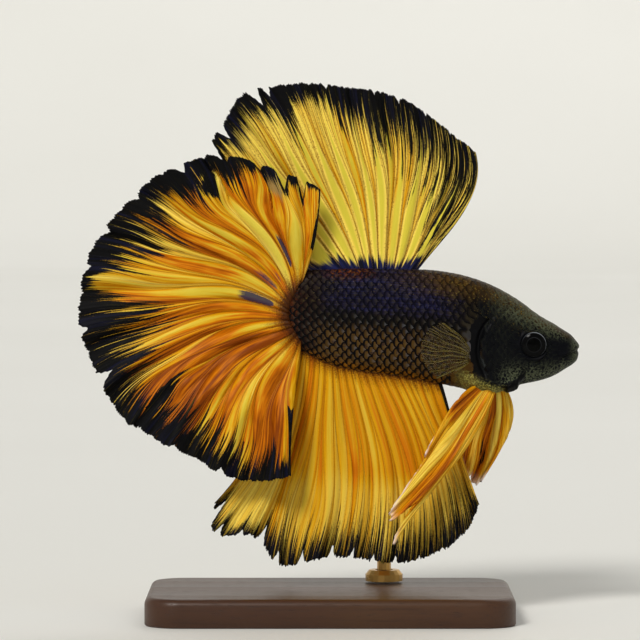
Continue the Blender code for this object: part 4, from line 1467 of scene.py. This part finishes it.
def floor_paint():
    """Pale, matt and slightly uneven."""
    tone = tones()
    paint = Paint("pale_floor", Specular_IOR_Level=0.25)
    grain = paint.grain(900.0, 3.0, 0.6)
    paint.colour = paint.blend(tone.floor, mixed(tone.floor, WHITE, 0.3), paint.grain(3.0, 2.0, 0.5))
    return paint.finish(grain, 0.00002, Roughness=0.62 + (grain - 0.5) * 0.1)


def build_floor():
    """A wide pale floor that curves up at its far edge, open above."""
    turns, reach, flat, climb = 96, sizes().floor_reach, 0.55, 0.55
    share = np.linspace(0.0, 1.0, 41)[1:]
    rise = climb * reach * np.maximum(0, (share - flat) / (1 - flat)) ** 2.2
    turn = np.linspace(0, 2 * math.pi, turns, endpoint=False)
    x, y = (reach * share[:, None] * wave(turn) for wave in (np.cos, np.sin))
    z = np.broadcast_to(rise[:, None], x.shape)
    points = np.concatenate((np.stack((x, y, z), axis=-1).reshape(-1, 3), ((0, 0, 0),)))
    points[:, 2] -= 0.00003  # just clear of the stand's foot
    index = ring_grid(len(share), turns)
    faces = [grid_quads(index), fan(index[0], len(share) * turns)]
    make_piece("floor", points, faces, {}, {}, floor_paint(), closed=False)


def soft_sun(name, source, angle, strength, tint):
    """Even light over the whole floor, from the side that source points to."""
    data = bpy.data.lights.new(name, "SUN")
    data.energy = strength
    data.angle = math.radians(angle)
    data.color = tint
    light = bpy.data.objects.new(name, data)
    light.location = source
    light.rotation_euler = aimed(-np.array(source))
    bpy.context.scene.collection.objects.link(light)


def aimed(direction):
    """Turn of an object whose own -Z looks along a direction and whose Y stays up."""
    x, y, z = direction / np.linalg.norm(direction)
    return (math.acos(-z), 0.0, math.atan2(-x, y))


def build_lights():
    """A soft main light from the upper left, two weaker ones and pale surroundings."""
    soft_sun("key_light", (-0.45, -0.85, 0.80), 16, 2.15, (1.0, 0.97, 0.92))
    soft_sun("fill_light", (0.90, -0.60, 0.30), 40, 0.45, (0.93, 0.96, 1.0))
    soft_sun("back_light", (0.35, 0.80, 0.70), 40, 0.60, (1.0, 0.98, 0.95))
    world = bpy.data.worlds.new("pale_surroundings")
    world.use_nodes = True
    background = world.node_tree.nodes["Background"]
    background.inputs["Color"].default_value = (*tones().floor, 1.0)
    background.inputs["Strength"].default_value = 0.38
    bpy.context.scene.world = world
    bpy.context.scene.view_settings.view_transform = "Standard"


def build_camera():
    """Looks along +Y at the middle of the view, a little from above."""
    size = sizes()
    data = bpy.data.cameras.new("camera")
    data.sensor_width = 36.0
    data.lens = data.sensor_width * size.camera_distance / size.view_width
    data.clip_start = 0.01
    data.clip_end = 50.0
    camera = bpy.data.objects.new("camera", data)
    back = np.array((0.0, -math.cos(size.view_rise), math.sin(size.view_rise)))
    camera.location = to_world(*VIEW_MIDDLE) + back * size.camera_distance
    camera.rotation_euler = aimed(-back)
    bpy.context.scene.collection.objects.link(camera)
    bpy.context.scene.camera = camera


# ---------------------------------------------------------------- operators


class BETTA_OT_stage(bpy.types.Operator):
    """Pale floor, soft lights and the camera"""

    bl_idname = "betta.stage"
    bl_label = "Stage"

    def execute(self, context):
        build_floor()
        build_lights()
        build_camera()
        return {"FINISHED"}


class BETTA_OT_stand(bpy.types.Operator):
    """Walnut and brass on the solids of the stand"""

    bl_idname = "betta.stand"
    bl_label = "Stand"

    def execute(self, context):
        build_base(walnut_paint())
        brass = brass_paint()
        for name in ("stand_rod", "stand_collar"):
            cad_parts[name].material_slots[0].material = brass
        return {"FINISHED"}


class BETTA_OT_skin(bpy.types.Operator):
    """One skin over the whole body"""

    bl_idname = "betta.skin"
    bl_label = "Skin"

    def execute(self, context):
        place_piece(
            build_skin(), "head_skin",
            "head", "trunk", "tail_stalk", "gill_cover_right", "gill_cover_left", "lower_jaw",
        )
        return {"FINISHED"}


class BETTA_OT_scales(bpy.types.Operator):
    """Flank scales and the smaller head scales"""

    bl_idname = "betta.scales"
    bl_label = "Scales"

    def execute(self, context):
        chance = np.random.default_rng(5)
        tone = tones()
        # Rows round the body, then the distance along it, a scale's length and width and its lift
        rows, pitch, lift = 44, sizes().scale_pitch / BODY_LENGTH, sizes().scale_lift
        long, wide = 1.8 * pitch, 2.2 / rows
        centres = scale_layout(rows, pitch, 0.048, 0.70, on_body, chance)
        material = scale_paint("flank_scales", tone.soot, 0.15)
        scales = build_scales("flank_scales", centres, long, wide, lift, material, chance)
        place_piece(scales, "body_scales")
        rows, pitch, lift = 48, 0.80 * pitch, 1.1 * lift
        long, wide = 1.75 * pitch, 2.1 / rows
        centres = scale_layout(rows, pitch, 0.56, 0.95, on_head, chance)
        material = scale_paint("head_scales", mixed(tone.ink, tone.ash, 0.70), 0.0)
        scales = build_scales("head_scales", centres, long, wide, lift, material, chance)
        place_piece(scales, "head_skin")
        return {"FINISHED"}


class BETTA_OT_eyes(bpy.types.Operator):
    """Both eyes"""

    bl_idname = "betta.eyes"
    bl_label = "Eyes"

    def execute(self, context):
        material = eye_paint()
        for name, side in (("right", -1), ("left", 1)):
            place_piece(build_eye(f"eyeball_{name}", side, material), "eye", f"eye_{name}")
        return {"FINISHED"}


class BETTA_OT_tail(bpy.types.Operator):
    """The tail fin"""

    bl_idname = "betta.tail"
    bl_label = "Tail fin"

    def execute(self, context):
        material = fin_paint("caudal_silk", thin=0.65, dusk=2.6, ray_line=0.5)
        place_piece(build_fin(caudal_fin(), material), "fin", "caudal_fin")
        return {"FINISHED"}


class BETTA_OT_dorsal(bpy.types.Operator):
    """The dorsal fin"""

    bl_idname = "betta.dorsal"
    bl_label = "Dorsal fin"

    def execute(self, context):
        material = fin_paint("dorsal_silk", thin=0.95, ray_line=0.7, fleck=0.7, flames=1.6, wild=0.8)
        place_piece(build_fin(dorsal_fin(), material), "fin", "dorsal_fin")
        return {"FINISHED"}


class BETTA_OT_anal(bpy.types.Operator):
    """The anal fin"""

    bl_idname = "betta.anal"
    bl_label = "Anal fin"

    def execute(self, context):
        material = fin_paint("anal_silk", thin=0.35, dusk=2.2, ray_line=0.4, fleck=0.25, wild=0.22)
        place_piece(build_fin(anal_fin(), material), "fin", "anal_fin")
        return {"FINISHED"}


class BETTA_OT_ventrals(bpy.types.Operator):
    """The pair of fins under the breast"""

    bl_idname = "betta.ventrals"
    bl_label = "Ventral fins"

    def execute(self, context):
        material = fin_paint("ventral_silk", thin=0.2, ray_line=0.35, blush=0.90)
        for fin, node in zip(ventral_fins(), ("ventral_fin_right", "ventral_fin_left")):
            place_piece(build_fin(fin, material), "ventral_fin", node)
        return {"FINISHED"}


class BETTA_OT_pectorals(bpy.types.Operator):
    """The pair of clear fins behind the gill covers"""

    bl_idname = "betta.pectorals"
    bl_label = "Pectoral fins"

    def execute(self, context):
        material = clear_paint("pectoral_film")
        for name, side, seed in (("right", -1, 51), ("left", 1, 53)):
            fin = pectoral_fin(f"pectoral_fin_sheet_{name}", side, seed)
            place_piece(build_fin(fin, material), "clear_fin", f"pectoral_fin_{name}")
        return {"FINISHED"}


OPERATORS = (
    BETTA_OT_stage, BETTA_OT_stand, BETTA_OT_skin, BETTA_OT_scales, BETTA_OT_eyes, BETTA_OT_tail,
    BETTA_OT_dorsal, BETTA_OT_anal, BETTA_OT_ventrals, BETTA_OT_pectorals,
)


class BETTA_PT_panel(bpy.types.Panel):
    """Lists the fish's pieces, colours and sizes"""

    bl_idname = "BETTA_PT_panel"
    bl_label = "Betta fish"
    bl_space_type = "VIEW_3D"
    bl_region_type = "UI"
    bl_category = "Betta fish"

    def draw(self, context):
        layout = self.layout
        for operator in OPERATORS:
            layout.operator(operator.bl_idname)
        for group in (context.scene.betta_sizes, context.scene.betta_colours):
            for key in group.__annotations__:
                layout.prop(group, key)


CLASSES = (BettaSizes, BettaColours, *OPERATORS, BETTA_PT_panel)


def register():
    for item in CLASSES:
        bpy.utils.register_class(item)
    bpy.types.Scene.betta_sizes = bpy.props.PointerProperty(type=BettaSizes)
    bpy.types.Scene.betta_colours = bpy.props.PointerProperty(type=BettaColours)


def unregister():
    del bpy.types.Scene.betta_colours
    del bpy.types.Scene.betta_sizes
    for item in reversed(CLASSES):
        bpy.utils.unregister_class(item)


def main():
    register()
    bpy.ops.betta.stage()
    bpy.ops.betta.stand()
    bpy.ops.betta.skin()
    bpy.ops.betta.scales()
    bpy.ops.betta.eyes()
    bpy.ops.betta.tail()
    bpy.ops.betta.dorsal()
    bpy.ops.betta.anal()
    bpy.ops.betta.ventrals()
    bpy.ops.betta.pectorals()


if __name__ == "__main__":
    main()
